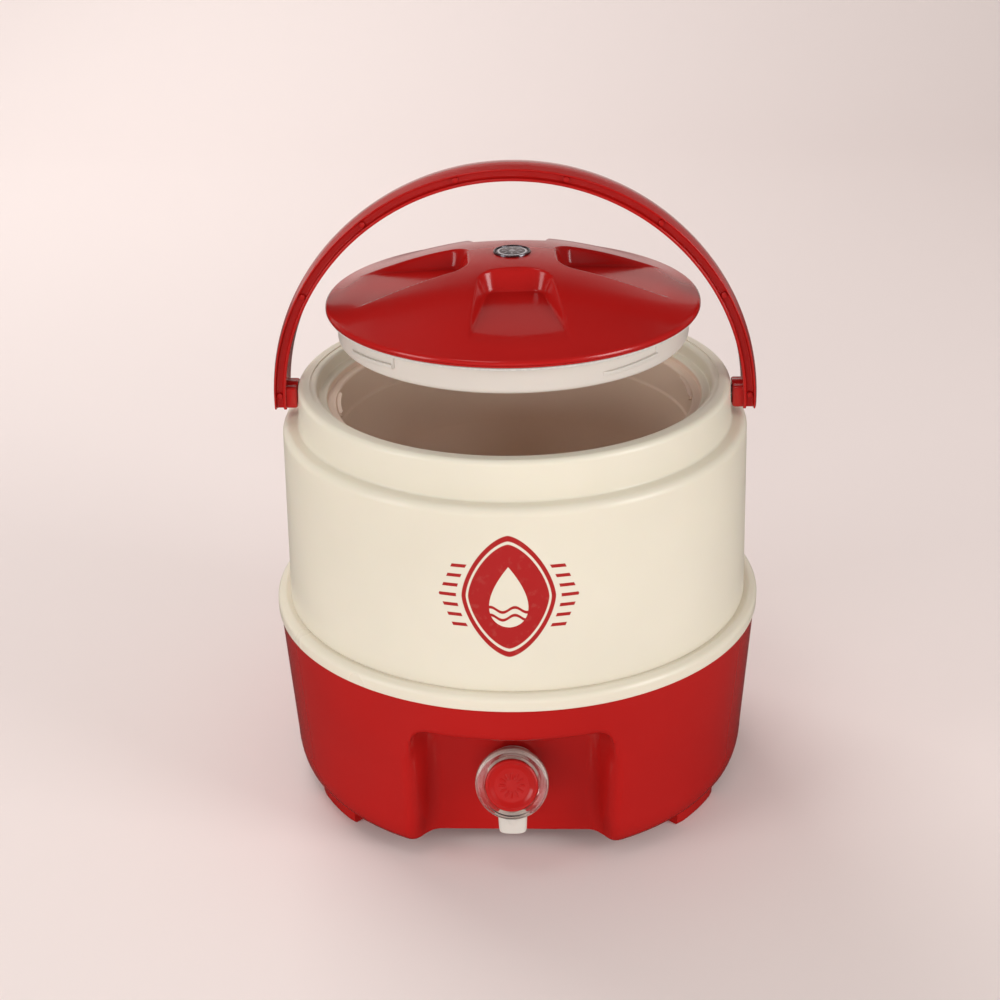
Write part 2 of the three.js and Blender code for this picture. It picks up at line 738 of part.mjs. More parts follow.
function lidDome() {
  const outer = solid(turned(domeProfile(0, 0)));
  const hollow = withPockets(solid(turned(domeProfile(lidWall, 0))), lidWall);
  const plugSeat = solid(disc(lidInnerRadius, -overrun, plugFlangeThickness + clearance, wideFacets));
  const seatSpan = [lidDomeHeight - badgeRecess, lidDomeHeight + overrun];
  const badgeSeat = solid(disc(badgeRadius + clearance, ...seatSpan));
  return geometryOf(withPockets(outer.subtract(hollow).subtract(plugSeat), 0).subtract(badgeSeat));
}

function lidFoam() {
  const bottom = plugFlangeThickness + clearance;
  const filling = solid(turned(domeProfile(lidWall + clearance, bottom)));
  return geometryOf(withPockets(filling, lidWall + clearance));
}

function lidPlug() {
  const flangeRadius = lidInnerRadius - clearance;
  const inner = plugRadius - plugWall;
  const floor = -plugHeight + plugWall;
  const cornerX = plugRadius - plugCornerRadius;
  const cornerInner = plugCornerRadius - plugWall / 2;
  let plug = solid(turned([
    [0, -plugHeight],
    ...arc(cornerX, plugCornerRadius - plugHeight, plugCornerRadius, plugCornerRadius, -90, 0),
    [plugRadius, 0],
    [flangeRadius, 0],
    [flangeRadius, plugFlangeThickness],
    [inner, plugFlangeThickness],
    ...arc(inner - cornerInner, floor + cornerInner, cornerInner, cornerInner, 0, -90),
    [0, floor],
  ]));
  for (let i = 0; i < pocketCount; i++) plug = plug.add(bayonetRamp(i));
  return geometryOf(plug);
}

function lidSeal() {
  const innerRadius = plugRadius + clearance;
  return ring(innerRadius, innerRadius + sealWidth, -clearance - sealThickness, -clearance, wideFacets);
}

function badgeRing() {
  const lowZ = lidDomeHeight - badgeRecess + clearance;
  return ring(badgeRadius - badgeRimWidth, badgeRadius, lowZ, lowZ + badgeThickness, smallFacets);
}

function badgeDisc() {
  const lowZ = lidDomeHeight - badgeRecess + clearance;
  const radius = badgeRadius - badgeRimWidth - clearance;
  return disc(radius, lowZ, lowZ + badgeThickness - clearance, smallFacets);
}

// Tap head's own frame: its Z runs out of the head to the front and up
function headMatrix() {
  const turn = Math.PI / 2 - THREE.MathUtils.degToRad(headTilt);
  const place = new THREE.Matrix4().makeTranslation(0, -headDepth, headZ);
  return place.multiply(new THREE.Matrix4().makeRotationX(turn));
}

const inHead = (geometry) => solid(geometry.applyMatrix4(headMatrix()));

function tapBody() {
  const seatRear = -seatRearLength;
  const flange = rodY(tapFlangeRadius, -tapFlangeDepth - tapFlangeThickness, -tapFlangeDepth, barrelHeight);
  const barrel = rodY(barrelRadius, -headDepth, -barrelInnerDepth, barrelHeight);
  const head = inHead(disc(headRadius, -headRearLength, frontWallEnd));
  const spout = solid(turned([
    [0, spoutTipHeight], [spoutTipRadius, spoutTipHeight], [spoutTopRadius, headZ], [0, headZ],
  ], smallFacets).translate(0, -spoutDepth, 0));
  const rearChamber = inHead(disc(chamberRadius, -chamberRearLength, seatRear));
  const frontChamber = inHead(disc(chamberRadius, -seatFrontLength, headFrontLength));
  const seatPort = inHead(disc(seatPortRadius, seatRear - clearance, -seatFrontLength + clearance));
  const guide = inHead(disc(stemRadius + clearance, 0, frontWallEnd + overrun));
  const inlet = rodY(barrelBoreRadius, -headDepth + inletLength, -barrelInnerDepth + overrun, barrelHeight);
  const upright = (radius, lowZ, highZ) => solid(disc(radius, lowZ, highZ).translate(0, -spoutDepth, 0));
  const port = upright(spoutPortRadius, spoutPortHeight - overrun, headZ - chamberRadius / 2);
  const bore = upright(spoutBoreRadius, spoutTipHeight - overrun, spoutPortHeight);
  const spaceRadius = collarRadius + clearance;
  const buttonSpace = inHead(disc(spaceRadius, frontWallEnd, frontWallEnd + headDepth));
  const collarSpan = [headFrontLength - clearance, frontWallEnd + overrun];
  const collarSpace = inHead(ring(headRadius, spaceRadius, ...collarSpan));
  let body = flange.add(barrel).add(head).add(spout.subtract(buttonSpace).subtract(collarSpace));
  const cuts = [rearChamber, frontChamber, seatPort, guide, inlet, port, bore];
  for (const cut of cuts) body = body.subtract(cut);
  return geometryOf(body);
}

function tapCollar() {
  const highZ = frontWallEnd + collarLength;
  const edge = collarRounding;
  return turned([
    [headRadius + clearance, frontWallEnd],
    [headRadius + clearance, headFrontLength],
    [collarRadius, headFrontLength],
    ...arc(collarRadius - edge, highZ - edge, edge, edge, 0, 90),
    ...arc(collarInnerRadius + edge, highZ - edge, edge, edge, 90, 180),
    [collarInnerRadius, frontWallEnd],
  ], wideFacets / 2);
}

function tapButton() {
  const edge = buttonRounding;
  return turned([
    [0, buttonCeiling],
    [buttonRadius - buttonWall, buttonCeiling],
    [buttonRadius - buttonWall, buttonFoot],
    [buttonRadius, buttonFoot],
    ...arc(buttonRadius - edge, buttonTop - edge, edge, edge, 0, 90),
    [0, buttonTop + edge / 2],
  ], wideFacets / 2);
}

function tapStem() {
  return turned([
    [0, stemShoulder - stemFlangeThickness],
    [stemFlangeRadius, stemShoulder - stemFlangeThickness],
    [stemFlangeRadius, stemShoulder],
    [stemRadius, stemShoulder],
    [stemRadius, buttonCeiling - clearance],
    [0, buttonCeiling - clearance],
  ], smallFacets);
}

function valveSeal() {
  return ring(stemRadius + clearance, valveRadius, valveFront - valveThickness, valveFront);
}

// Return spring: one unbroken wire of a few turns between the head's front wall and the button
function tapSpring() {
  const lowZ = frontWallEnd + clearance + springWireRadius;
  const highZ = buttonCeiling - clearance - springWireRadius;
  const steps = springTurns * springStepsPerTurn;
  const positions = [];
  const indices = [];
  for (let i = 0; i <= steps; i++) {
    const angle = (2 * Math.PI * i) / springStepsPerTurn;
    const z = THREE.MathUtils.lerp(lowZ, highZ, i / steps);
    for (let k = 0; k < springSides; k++) {
      const side = (2 * Math.PI * k) / springSides;
      const radius = springRadius + springWireRadius * Math.cos(side);
      const height = z + springWireRadius * Math.sin(side);
      positions.push(radius * Math.cos(angle), radius * Math.sin(angle), height);
    }
  }
  for (let i = 0; i < steps; i++) {
    for (let k = 0; k < springSides; k++) {
      const next = (k + 1) % springSides;
      const [a, b] = [i * springSides + k, i * springSides + next];
      indices.push(a, b, a + springSides, b, b + springSides, a + springSides);
    }
  }
  for (let k = 1; k < springSides - 1; k++) {
    indices.push(0, k + 1, k);
    const end = steps * springSides;
    indices.push(end, end + k, end + k + 1);
  }
  const wire = new THREE.BufferGeometry();
  wire.setAttribute('position', new THREE.Float32BufferAttribute(positions, 3));
  wire.setIndex(indices);
  return closed(wire);
}

function tapGasket(frontY) {
  return alongY(ring(barrelRadius + clearance, gasketRadius, -frontY - gasketThickness, -frontY))
    .translate(0, 0, barrelHeight);
}

function tapNut() {
  const innerDepth = nutOuterDepth - nutThickness;
  const hexagon = solid(alongY(disc(nutAcrossCorners / 2, innerDepth, nutOuterDepth, nutSides)));
  const bore = solid(alongY(disc(barrelRadius + clearance, innerDepth - overrun, nutOuterDepth + overrun)));
  return geometryOf(hexagon.subtract(bore)).translate(0, 0, barrelHeight);
}

// Assembly
const jug = new THREE.Group();
const [linerFloor, linerTube, linerRim] = linerParts();
jug.add(
  named('outer_shell', outerShell(), creamPlastic),
  named('skirt_ring', skirtRing(), whitePlastic),
  named('liner_floor', linerFloor, linerPlastic),
  named('inner_liner', linerTube, linerPlastic),
  named('liner_rim', linerRim, linerPlastic),
  named('insulation_foam', foam(), foamPlastic),
  named('base_shell', baseShell(), redPlastic),
  named('base_plate', basePlate(), redPlastic),
);

for (const [place, azimuth] of Object.entries(footAzimuths)) {
  const [x, y] = screwPlace(azimuth);
  const screw = named(`foot_screw_${place}`, footScrew(), steel);
  screw.position.set(x, y, 0);
  jug.add(named(`foot_${place}`, foot(azimuth), redPlastic), screw);
}

jug.add(named('bail_handle', bailHandle(), redPlastic));
for (const [place, turn] of Object.entries({ right: 1, left: -1 })) {
  const pin = named(`pivot_pin_${place}`, pivotPin(), steel);
  pin.position.set(0, 0, pivotZ);
  pin.rotation.y = (turn * Math.PI) / 2;
  jug.add(pin);
}

const lid = new THREE.Group();
lid.position.set(0, 0, lidZ);
lid.rotation.z = THREE.MathUtils.degToRad(lidTurnAtRest);
lid.add(
  named('lid_dome', lidDome(), redPlastic),
  named('lid_foam', lidFoam(), foamPlastic),
  named('lid_plug', lidPlug(), whitePlastic),
  named('lid_seal', lidSeal(), rubber),
  named('lid_badge_ring', badgeRing(), steel),
  named('lid_badge_disc', badgeDisc(), darkEnamel),
);
jug.add(lid);

jug.add(
  named('tap_body', tapBody(), whitePlastic),
  named('tap_gasket_outer', tapGasket(-nicheBackDepth - clearance - gasketThickness), rubber),
  named('tap_gasket_inner', tapGasket(-linerPadDepth + clearance), rubber),
  named('tap_nut', tapNut(), whitePlastic),
);

const tapHead = new THREE.Group();
tapHead.applyMatrix4(headMatrix());
tapHead.add(
  named('tap_collar', tapCollar(), clearPlastic),
  named('tap_button', tapButton(), redPlastic),
  named('tap_stem', tapStem(), whitePlastic),
  named('tap_valve_seal', valveSeal(), rubber),
  named('tap_spring', tapSpring(), steel),
);
jug.add(tapHead);

export default jug;
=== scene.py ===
"""Insulated water jug: its looks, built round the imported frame. Metres, +Z up, the tap faces -Y."""
import json
from math import atan2, cos, pi, radians, sin, sqrt, tan

import bmesh
import bpy
import numpy as np
from mathutils import Euler, Matrix, Vector

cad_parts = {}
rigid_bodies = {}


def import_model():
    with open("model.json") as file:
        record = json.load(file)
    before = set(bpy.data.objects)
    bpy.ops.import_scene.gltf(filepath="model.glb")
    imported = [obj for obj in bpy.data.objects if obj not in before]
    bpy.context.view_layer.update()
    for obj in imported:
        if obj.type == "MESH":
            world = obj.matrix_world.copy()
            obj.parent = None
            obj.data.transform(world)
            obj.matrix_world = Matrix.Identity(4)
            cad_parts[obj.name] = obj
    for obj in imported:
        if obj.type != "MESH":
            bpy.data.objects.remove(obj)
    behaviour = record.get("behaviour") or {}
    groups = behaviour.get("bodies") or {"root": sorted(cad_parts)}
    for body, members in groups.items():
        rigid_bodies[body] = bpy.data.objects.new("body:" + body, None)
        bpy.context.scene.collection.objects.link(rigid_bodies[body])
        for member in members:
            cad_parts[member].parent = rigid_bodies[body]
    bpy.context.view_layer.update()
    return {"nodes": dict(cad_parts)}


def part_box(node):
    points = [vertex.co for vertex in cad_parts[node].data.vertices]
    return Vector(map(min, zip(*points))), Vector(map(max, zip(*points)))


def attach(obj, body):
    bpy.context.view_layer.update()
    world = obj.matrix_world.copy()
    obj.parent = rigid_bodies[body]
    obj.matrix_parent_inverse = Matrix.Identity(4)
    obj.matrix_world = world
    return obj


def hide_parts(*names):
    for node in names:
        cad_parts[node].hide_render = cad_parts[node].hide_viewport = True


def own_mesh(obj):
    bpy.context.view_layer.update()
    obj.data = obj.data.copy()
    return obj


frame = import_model()

bl_info = {
    "name": "Insulated water jug",
    "version": (1, 0, 0),
    "blender": (4, 5, 0),
    "location": "3D View > Sidebar > Jug",
    "description": "Builds the pieces of an insulated water jug round its packed frame",
    "category": "Add Mesh",
}

MM = 0.001

# Colours of the plastics, the floor, the print, the lid's badge, and what is mostly hidden
CREAM = (0.790, 0.712, 0.580)
RED = (0.445, 0.0085, 0.0070)
WHITE = (0.655, 0.594, 0.533)
# The liner's colour is the cream liner browned and darkened: painted shade for its deep inside, below the
# ledge
LINER_IN_PAINTED_SHADE = (0.88, 0.67, 0.53)
CLEAR = (0.95, 0.86, 0.83)
FLOOR = (0.86, 0.76, 0.73)
PRINT = (0.40, 0.010, 0.010)
ENAMEL = (0.022, 0.020, 0.032)
ENAMEL_MARK = (0.55, 0.55, 0.58)
STEEL = (0.62, 0.63, 0.65)
PLATE = (0.30, 0.30, 0.33)
RUBBER = (0.62, 0.60, 0.56)
FOAM = (0.80, 0.70, 0.42)

# Steps round the widest pieces, degrees at which an edge stays sharp, metres at which points merge
WIDE = 224
SHARP = 38
MERGED, COLLAPSED = 1e-6, 1e-7

# Most of a side that the round at one of its ends may take up
ROUND_REACH = 0.47

# The feet's circle and their angles from the front towards +X
FOOT_CIRCLE = 104.75
FEET = {"front_right": 56, "back_right": 124, "back_left": 236, "front_left": 304}

# Outline of the base: the radii of its foot and its waist, how far it widens between the two and from the
# waist to its top, and the waist's height above the foot
FOOT_RADIUS, WAIST_RADIUS, FOOT_INSET, TOP_GROWTH, FOOT_CURVE = 113.8, 119.2, 5.4, 4.8, 15.7

# Rows of points on the base: down its outside, over the niche's edge, in along its roof and down its back
OUTSIDE, EDGE, ROOF, CORNER, WALL, UNDERSIDE = range(6)

# Lid: its radius, the height of its lip, the dome's rise above it and how steeply the dome falls
LID_RADIUS, LIP_HEIGHT, DOME_RISE, DOME_FALL = 91.8, 3.2, 22.5, 1.24

# Lamps: name, place, width, depth, watts, and whether glossy pieces mirror it
LAMPS = (
    ("key", (-0.85, 1.35, 1.40), 1.3, 1.0, 20.0, False),
    ("glint", (-0.35, -0.40, 1.75), 0.45, 0.3, 1.6, True),
    ("front", (-0.4, -2.3, 0.50), 1.9, 0.8, 24.5, False),
    ("left", (-1.5, -0.9, 0.75), 0.7, 1.1, 7.5, True),
    ("right", (1.5, -0.8, 0.75), 0.7, 1.1, 13.0, True),
)
LAMP_TARGET = (0, 0, 0.16)

# The sky's colour, and its strength as it lights, as glossy pieces mirror it and as the camera sees it
SKY = (1.0, 0.97, 0.95)
SKY_LIGHT, SKY_MIRRORED, SKY_SEEN = 0.36, 0.045, 0.80

# Camera: its place, where it looks, and its roll in degrees
CAMERA_SPOT, CAMERA_AHEAD, CAMERA_ROLL = (0.0293, -0.8590, 0.5491), (-0.0395, 0.9051, -0.4234), -1.1


# Shapes: outlines with rounded corners, turned shells, swept sections and copies
def rounded(corners, steps=6, hold=0.5):
    """Corners (x, y, radius) as a run of points; each round is held by a close point on both sides."""
    points = []
    for i, corner in enumerate(corners):
        here = Vector(corner[:2])
        radius = corner[2] if len(corner) > 2 else 0
        if not radius or i in (0, len(corners) - 1):
            points.append(here)
            continue
        before, after = Vector(corners[i - 1][:2]) - here, Vector(corners[i + 1][:2]) - here
        reach_before, reach_after = before.length, after.length
        before.normalize()
        after.normalize()
        half = before.angle(after) / 2
        reach = min(radius / tan(half), reach_before * ROUND_REACH, reach_after * ROUND_REACH)
        radius = reach * tan(half)
        centre = here + (before + after).normalized() * (radius / sin(half))
        start, end = here + before * reach - centre, here + after * reach - centre
        turn = atan2(start.x * end.y - start.y * end.x, start.dot(end))
        if reach_before - reach > 2 * hold:
            points.append(here + before * (reach + hold))
        points += [centre + Matrix.Rotation(turn * k / steps, 2) @ start for k in range(steps + 1)]
        if reach_after - reach > 2 * hold:
            points.append(here + after * (reach + hold))
    return [(p.x, p.y) for p in points]


def new_object(name, vertices, faces, sharp=SHARP):
    """A mesh object from millimetres: merged, facing outwards, and smooth up to the sharp angle."""
    mesh = bpy.data.meshes.new(name)
    mesh.from_pydata([(x * MM, y * MM, z * MM) for x, y, z in vertices], [], faces)
    work = bmesh.new()
    work.from_mesh(mesh)
    bmesh.ops.remove_doubles(work, verts=work.verts, dist=MERGED)
    bmesh.ops.dissolve_degenerate(work, edges=work.edges, dist=COLLAPSED)
    bmesh.ops.recalc_face_normals(work, faces=work.faces)
    work.to_mesh(mesh)
    work.free()
    smooth(mesh, sharp)
    piece = bpy.data.objects.new(name, mesh)
    bpy.context.scene.collection.objects.link(piece)
    return piece


def smooth(mesh, sharp=SHARP):
    """Shades a mesh smooth, apart from its edges above the sharp angle."""
    mesh.polygons.foreach_set("use_smooth", [True] * len(mesh.polygons))
    mesh.set_sharp_from_angle(angle=radians(sharp))


def grid_faces(rows, columns, wrap_rows=False, wrap_columns=True):
    """Quads between rows and columns of points."""
    faces = []
    for i in range(rows if wrap_rows else rows - 1):
        low, high = i * columns, ((i + 1) % rows) * columns
        for j in range(columns if wrap_columns else columns - 1):
            k = (j + 1) % columns
            faces.append((low + j, low + k, high + k, high + j))
    return faces


def turned(profile, segments, place=None):
    """A (radius, height) profile turned about Z, as vertices and faces; closed unless it ends on the axis."""
    ring = [(sin(2 * pi * j / segments), -cos(2 * pi * j / segments)) for j in range(segments)]
    vertices = [(r * s, r * c, z) for r, z in profile for s, c in ring]
    if place is not None:
        vertices = [tuple(place @ Vector(v)) for v in vertices]
    return vertices, grid_faces(len(profile), segments, wrap_rows=profile[-1][0] > 0)


def join(*parts):
    """One list of vertices and faces from several."""
    vertices, faces = [], []
    for part_vertices, part_faces in parts:
        start = len(vertices)
        vertices += part_vertices
        faces += [tuple(start + i for i in face) for face in part_faces]
    return vertices, faces


def lofted(rows):
    """Vertices and faces of a skin over rows of points, with both ends closed."""
    count = len(rows[0])
    last = count * (len(rows) - 1)
    ends = [tuple(range(count)), tuple(reversed(range(last, last + count)))]
    return [point for row in rows for point in row], grid_faces(len(rows), count) + ends


def swept(section, frames):
    """A closed section of (x, y) carried through a run of matrices."""
    return lofted([[tuple(matrix @ Vector((x, y, 0))) for x, y in section] for matrix in frames])


def eased(value):
    """A share held between 0 and 1 that starts and ends softly."""
    share = min(1.0, max(0.0, value))
    return share * share * (3 - 2 * share)


def box_mm(node):
    """The lower and upper corners of a node's box, in millimetres."""
    return [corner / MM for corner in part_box(node)]


def azimuth(radius, degrees, z=0.0):
    """A point at a radius and an angle from the front towards +X."""
    return Vector((radius * sin(radians(degrees)), -radius * cos(radians(degrees)), z))


def lid_place():
    """The lid's own frame: its lower edge and its turn at rest."""
    size = bpy.context.scene.jug_sizes
    return Matrix.Translation((0, 0, size.lid_height / MM)) @ Matrix.Rotation(size.lid_turn, 4, "Z")


def head_place():
    """The tap head's own frame: +Z runs out of the button, forwards and up."""
    size = bpy.context.scene.jug_sizes
    spot = Vector((0, -size.head_depth, size.head_height)) / MM
    return Matrix.Translation(spot) @ Matrix.Rotation(pi / 2 - size.head_tilt, 4, "X")


def barrel_place():
    """The tap barrel's own frame: +Z runs forwards along its bore."""
    height = bpy.context.scene.jug_sizes.barrel_height / MM
    return Matrix.Translation((0, 0, height)) @ Matrix.Rotation(pi / 2, 4, "X")


# Geometry node trees
class Tree:
    """A geometry node tree with named inputs, filled node by node."""

    def __init__(self, name, inputs):
        self.tree = bpy.data.node_groups.new(name, "GeometryNodeTree")
        face = self.tree.interface
        face.new_socket("Geometry", in_out="INPUT", socket_type="NodeSocketGeometry")
        self.ids = {}
        for label, (kind, value) in inputs.items():
            socket = face.new_socket(label, in_out="INPUT", socket_type="NodeSocket" + kind)
            if value is not None:
                socket.default_value = value
            self.ids[label] = socket.identifier
        face.new_socket("Geometry", in_out="OUTPUT", socket_type="NodeSocketGeometry")
        self.given = self.tree.nodes.new("NodeGroupInput").outputs
        self.target = self.tree.nodes.new("NodeGroupOutput")

    def add(self, kind, inputs=None, **settings):
        node = self.tree.nodes.new(kind)
        for key, value in settings.items():
            setattr(node, key, value)
        for key, value in (inputs or {}).items():
            self.put(node.inputs[key], value)
        return node

    def put(self, socket, value):
        if isinstance(value, bpy.types.NodeSocket):
            self.tree.links.new(value, socket)
        else:
            socket.default_value = value

    def finish(self, geometry, material):
        real = self.add("GeometryNodeRealizeInstances", {"Geometry": geometry})
        painted = self.add("GeometryNodeSetMaterial", {"Geometry": real.outputs[0], "Material": material})
        self.put(self.target.inputs[0], painted.outputs[0])

    def make(self, name, values, start=None):
        """The tree's result as a plain mesh object, built from the start object's points if there is one."""
        holder = start or new_object(name, [], [])
        modifier = holder.modifiers.new("build", "NODES")
        modifier.node_group = self.tree
        for label, value in values.items():
            modifier[self.ids[label]] = value
        seen = holder.evaluated_get(bpy.context.evaluated_depsgraph_get())
        mesh = bpy.data.meshes.new_from_object(seen)
        holder.modifiers.remove(modifier)
        holder.data = mesh
        holder.name = mesh.name = name
        return holder


def copies(name, shape, places, material, body, slot, *nodes):
    """A dressed piece: a shape's copies at (position in mm, turn) places, set out by geometry nodes."""
    template = new_object(name + "_shape", *shape)
    mesh = bpy.data.meshes.new(name)
    mesh.from_pydata([tuple(Vector(spot) * MM) for spot, _ in places], [], [])
    points = bpy.data.objects.new(name, mesh)
    bpy.context.scene.collection.objects.link(points)
    turns = mesh.attributes.new("turn", "FLOAT_VECTOR", "POINT")
    for i, (_, turn) in enumerate(places):
        turns.data[i].vector = turn
    tree = Tree(name + "_layout", {
        "Template": ("Object", None), "Size": ("Float", 1.0), "Finish": ("Material", None)})
    shown = tree.add("GeometryNodeObjectInfo", {"Object": tree.given["Template"]})
    turn = tree.add("GeometryNodeInputNamedAttribute", {"Name": "turn"}, data_type="FLOAT_VECTOR")
    spread = tree.add("GeometryNodeInstanceOnPoints", {
        "Points": tree.given["Geometry"], "Instance": shown.outputs["Geometry"],
        "Rotation": turn.outputs[0], "Scale": tree.given["Size"]})
    tree.finish(spread.outputs[0], tree.given["Finish"])
    made = tree.make(name, {"Template": template, "Size": 1.0, "Finish": finishes()[material]}, points)
    bpy.data.objects.remove(template)
    smooth(made.data)
    dress(made, None, body, slot, *nodes)


# Materials: numbers worked out by math nodes, then the finishes
class Term:
    """A number in a material's node tree, with Python's own signs for its sums."""

    def __init__(self, maker, socket):
        self.maker, self.socket = maker, socket

    def sum(self, operation, *others):
        values = [self.socket] + [o.socket if isinstance(o, Term) else o for o in others]
        node = self.maker.add("ShaderNodeMath", operation=operation)
        for i, value in enumerate(values):
            self.maker.put(node.inputs[i], value)
        return Term(self.maker, node.outputs[0])

    def __add__(self, other): return self.sum("ADD", other)
    def __sub__(self, other): return self.sum("SUBTRACT", other)
    def __mul__(self, other): return self.sum("MULTIPLY", other)
    def __truediv__(self, other): return self.sum("DIVIDE", other)
    def __pow__(self, other): return self.sum("POWER", other)
    def __abs__(self): return self.sum("ABSOLUTE")

    # Shares of a surface: where either is, where both are, where the first is alone, and where it isn't
    def either(self, other): return self.sum("MAXIMUM", other)
    def both(self, other): return self.sum("MINIMUM", other)
    def minus(self, other): return self.sum("MULTIPLY", other.flip())
    def flip(self): return self.maker.number(1.0).sum("SUBTRACT", self)

    def below(self, edge, soft=0.12):
        """1 where the number is under the edge and 0 over it, with a soft step."""
        return self.ramp(edge + soft, edge - soft, 0.0, 1.0)

    def ramp(self, low, high, start=0.0, end=1.0):
        node = self.maker.add("ShaderNodeMapRange", {
            "Value": self.socket, "From Min": low, "From Max": high, "To Min": start, "To Max": end})
        return Term(self.maker, node.outputs[0])


class Finish:
    """One material: its principled shader, and what feeds it."""

    def __init__(self, name, color, roughness, **sockets):
        self.material = bpy.data.materials.new(name)
        self.material.use_nodes = True
        self.tree = self.material.node_tree
        self.shader = self.tree.nodes["Principled BSDF"]
        self.shader.inputs["Base Color"].default_value = (*color, 1)
        self.shader.inputs["Roughness"].default_value = roughness
        for key, value in sockets.items():
            self.shader.inputs[key.replace("_", " ")].default_value = value
        self.bump = None
        self.coordinates = self.add("ShaderNodeTexCoord").outputs["Object"]

    add, put = Tree.add, Tree.put

    def number(self, value):
        node = self.add("ShaderNodeValue")
        node.outputs[0].default_value = value
        return Term(self, node.outputs[0])

    def axes(self):
        split = self.add("ShaderNodeSeparateXYZ", {0: self.coordinates})
        return [Term(self, split.outputs[i]) for i in range(3)]

    def noise(self, scale, detail, stretch=None):
        at = self.coordinates
        if stretch:
            at = self.add("ShaderNodeMapping", {"Vector": at, "Scale": stretch}).outputs[0]
        node = self.add("ShaderNodeTexNoise", {"Vector": at, "Scale": scale, "Detail": detail})
        return Term(self, node.outputs[0])

    def mix(self, share, first, second):
        node = self.add("ShaderNodeMix", {0: share.socket}, data_type="RGBA")
        for socket, value in ((node.inputs[6], first), (node.inputs[7], second)):
            self.put(socket, value if isinstance(value, bpy.types.NodeSocket) else (*value, 1))
        return node.outputs[2]

    def paint(self, socket):
        self.put(self.shader.inputs["Base Color"], socket)

    def rough(self, term):
        self.put(self.shader.inputs["Roughness"], term.socket)

    def raise_by(self, height, strength, distance):
        """Adds a bump on top of the ones before it; distance is in millimetres."""
        inputs = {"Height": height.socket, "Strength": strength, "Distance": distance * MM}
        if self.bump:
            inputs["Normal"] = self.bump
        self.bump = self.add("ShaderNodeBump", inputs).outputs[0]
        self.put(self.shader.inputs["Normal"], self.bump)


def shade(color, share):
    """A colour made darker."""
    return tuple(c * share for c in color)


def moulded(name, color, deepest, roughness, **sockets):
    """A moulded plastic: faint clouds of colour, a slightly uneven gloss and the mould's ripple and grain."""
    cloud_scale, gloss_scale, ripple_scale, grain_scale = 11, 25, 38, 1400
    finish = Finish(name, color, roughness, **sockets)
    clouds = finish.noise(cloud_scale, 3).ramp(0.3, 0.75)
    finish.paint(finish.mix(clouds, color, shade(color, deepest)))
    finish.rough(finish.noise(gloss_scale, 3).ramp(0.3, 0.7, roughness * 0.9, roughness * 1.1))
    ripple, grain = finish.noise(ripple_scale, 1), finish.noise(grain_scale, 2)
    finish.raise_by(ripple, 0.06, 0.5)
    finish.raise_by(grain, 0.03, 0.05)
    return finish


def shell_finish(color):
    """Cream plastic with a printed badge: a red lozenge with a bare drop, and short dashes on both sides."""
    finish = moulded("cream_shell", color, 0.93, 0.33, Subsurface_Weight=0.06)
    cloudy = finish.shader.inputs["Base Color"].links[0].from_socket
    x, y, z = finish.axes()

    # Millimetres across the print and up it, then both counted from its middle
    u = x.sum("ARCTAN2", y * -1) * (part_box("outer_shell")[1].x / MM)
    v = z / MM - bpy.context.scene.jug_sizes.print_height / MM
    side, rise = abs(u), abs(v)

    # The lozenge, with a bare line inside its edge
    half_width, half_height, bulge, unbulge, crisp = 22, 31, 1.55, 0.645, 0.01
    line_outside, line_inside = 0.86, 0.79
    lozenge = (side / half_width) ** bulge + (rise / half_height) ** bulge
    line = lozenge.below(line_outside, crisp).minus(lozenge.below(line_inside, crisp))
    ink = lozenge.below(1.0, crisp).minus(line)

    # The bare drop, crossed by two waves
    drop_height, drop_width, drop_edge = 31, 24, -0.15
    wave_drop, wave_turns, wave_height, wave_gap, wave_half = 6.5, 0.55, 1.3, 4.0, 0.75
    share = ((v + drop_height / 2) / drop_height).both(1.0).either(0.0)
    drop = (side - share ** 0.5 * share.flip() * drop_width).below(drop_edge)
    wave = v + wave_drop - (u * wave_turns).sum("SINE") * wave_height
    waves = abs(wave).below(wave_half).either(abs(wave + wave_gap).below(wave_half))
    ink = ink.minus(drop.minus(waves))

    # Dashes beside the lozenge: rows that start off its edge and end on a slant
    pitch, pitches_down, dash_half, dash_rise = 5.0, 4.5, 0.17, 17.4
    margin, reach, slant = 2.6, 33, 0.42
    row = ((v + pitches_down * pitch) / pitch).sum("FRACT") - 0.5
    edge = ((rise / half_height) ** bulge).flip().either(0.0) ** unbulge * half_width
    dash = abs(row).below(dash_half, 0.02).minus((side - edge).below(margin))
    dash = dash.minus((side + rise * slant).below(reach).flip()).minus(rise.below(dash_rise).flip())

    front = y.below(0.0, 0.001)
    ink = ink.either(dash).minus(front.flip())
    worn = finish.noise(260, 4).ramp(0.30, 0.42, 0.97, 1.0)
    finish.paint(finish.mix(ink * worn, cloudy, PRINT))
    finish.raise_by(ink, 0.25, 0.04)


def liner_finish(color, rim):
    """Moulded liner: waxy, with faint level rings; the shell's cream above its ledge, and below it a browned,
    darkened cream that is painted shade for the deep inside.
    """
    finish = moulded("waxy_liner", color, 0.88, 0.42, Subsurface_Weight=0.08)
    cloudy = finish.shader.inputs["Base Color"].links[0].from_socket
    ledge_drop = 0.0076
    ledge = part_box("liner_rim")[1].z - ledge_drop
    # Painted shade: below the ledge the liner takes its browned colour, above it the shell's cream
    finish.paint(finish.mix(finish.axes()[2].below(ledge, 0.0004), rim, cloudy))
    rings = finish.noise(30, 2, (0.1, 0.1, 3))
    finish.raise_by(rings, 0.2, 0.6)


def clear_finish():
    """Clear, slightly milky plastic."""
    finish = Finish("clear_ring", CLEAR, 0.08, Transmission_Weight=0.97, IOR=1.46)
    finish.rough(finish.noise(90, 3).ramp(0.3, 0.7, 0.05, 0.13))
    finish.raise_by(finish.noise(160, 2), 0.12, 0.2)


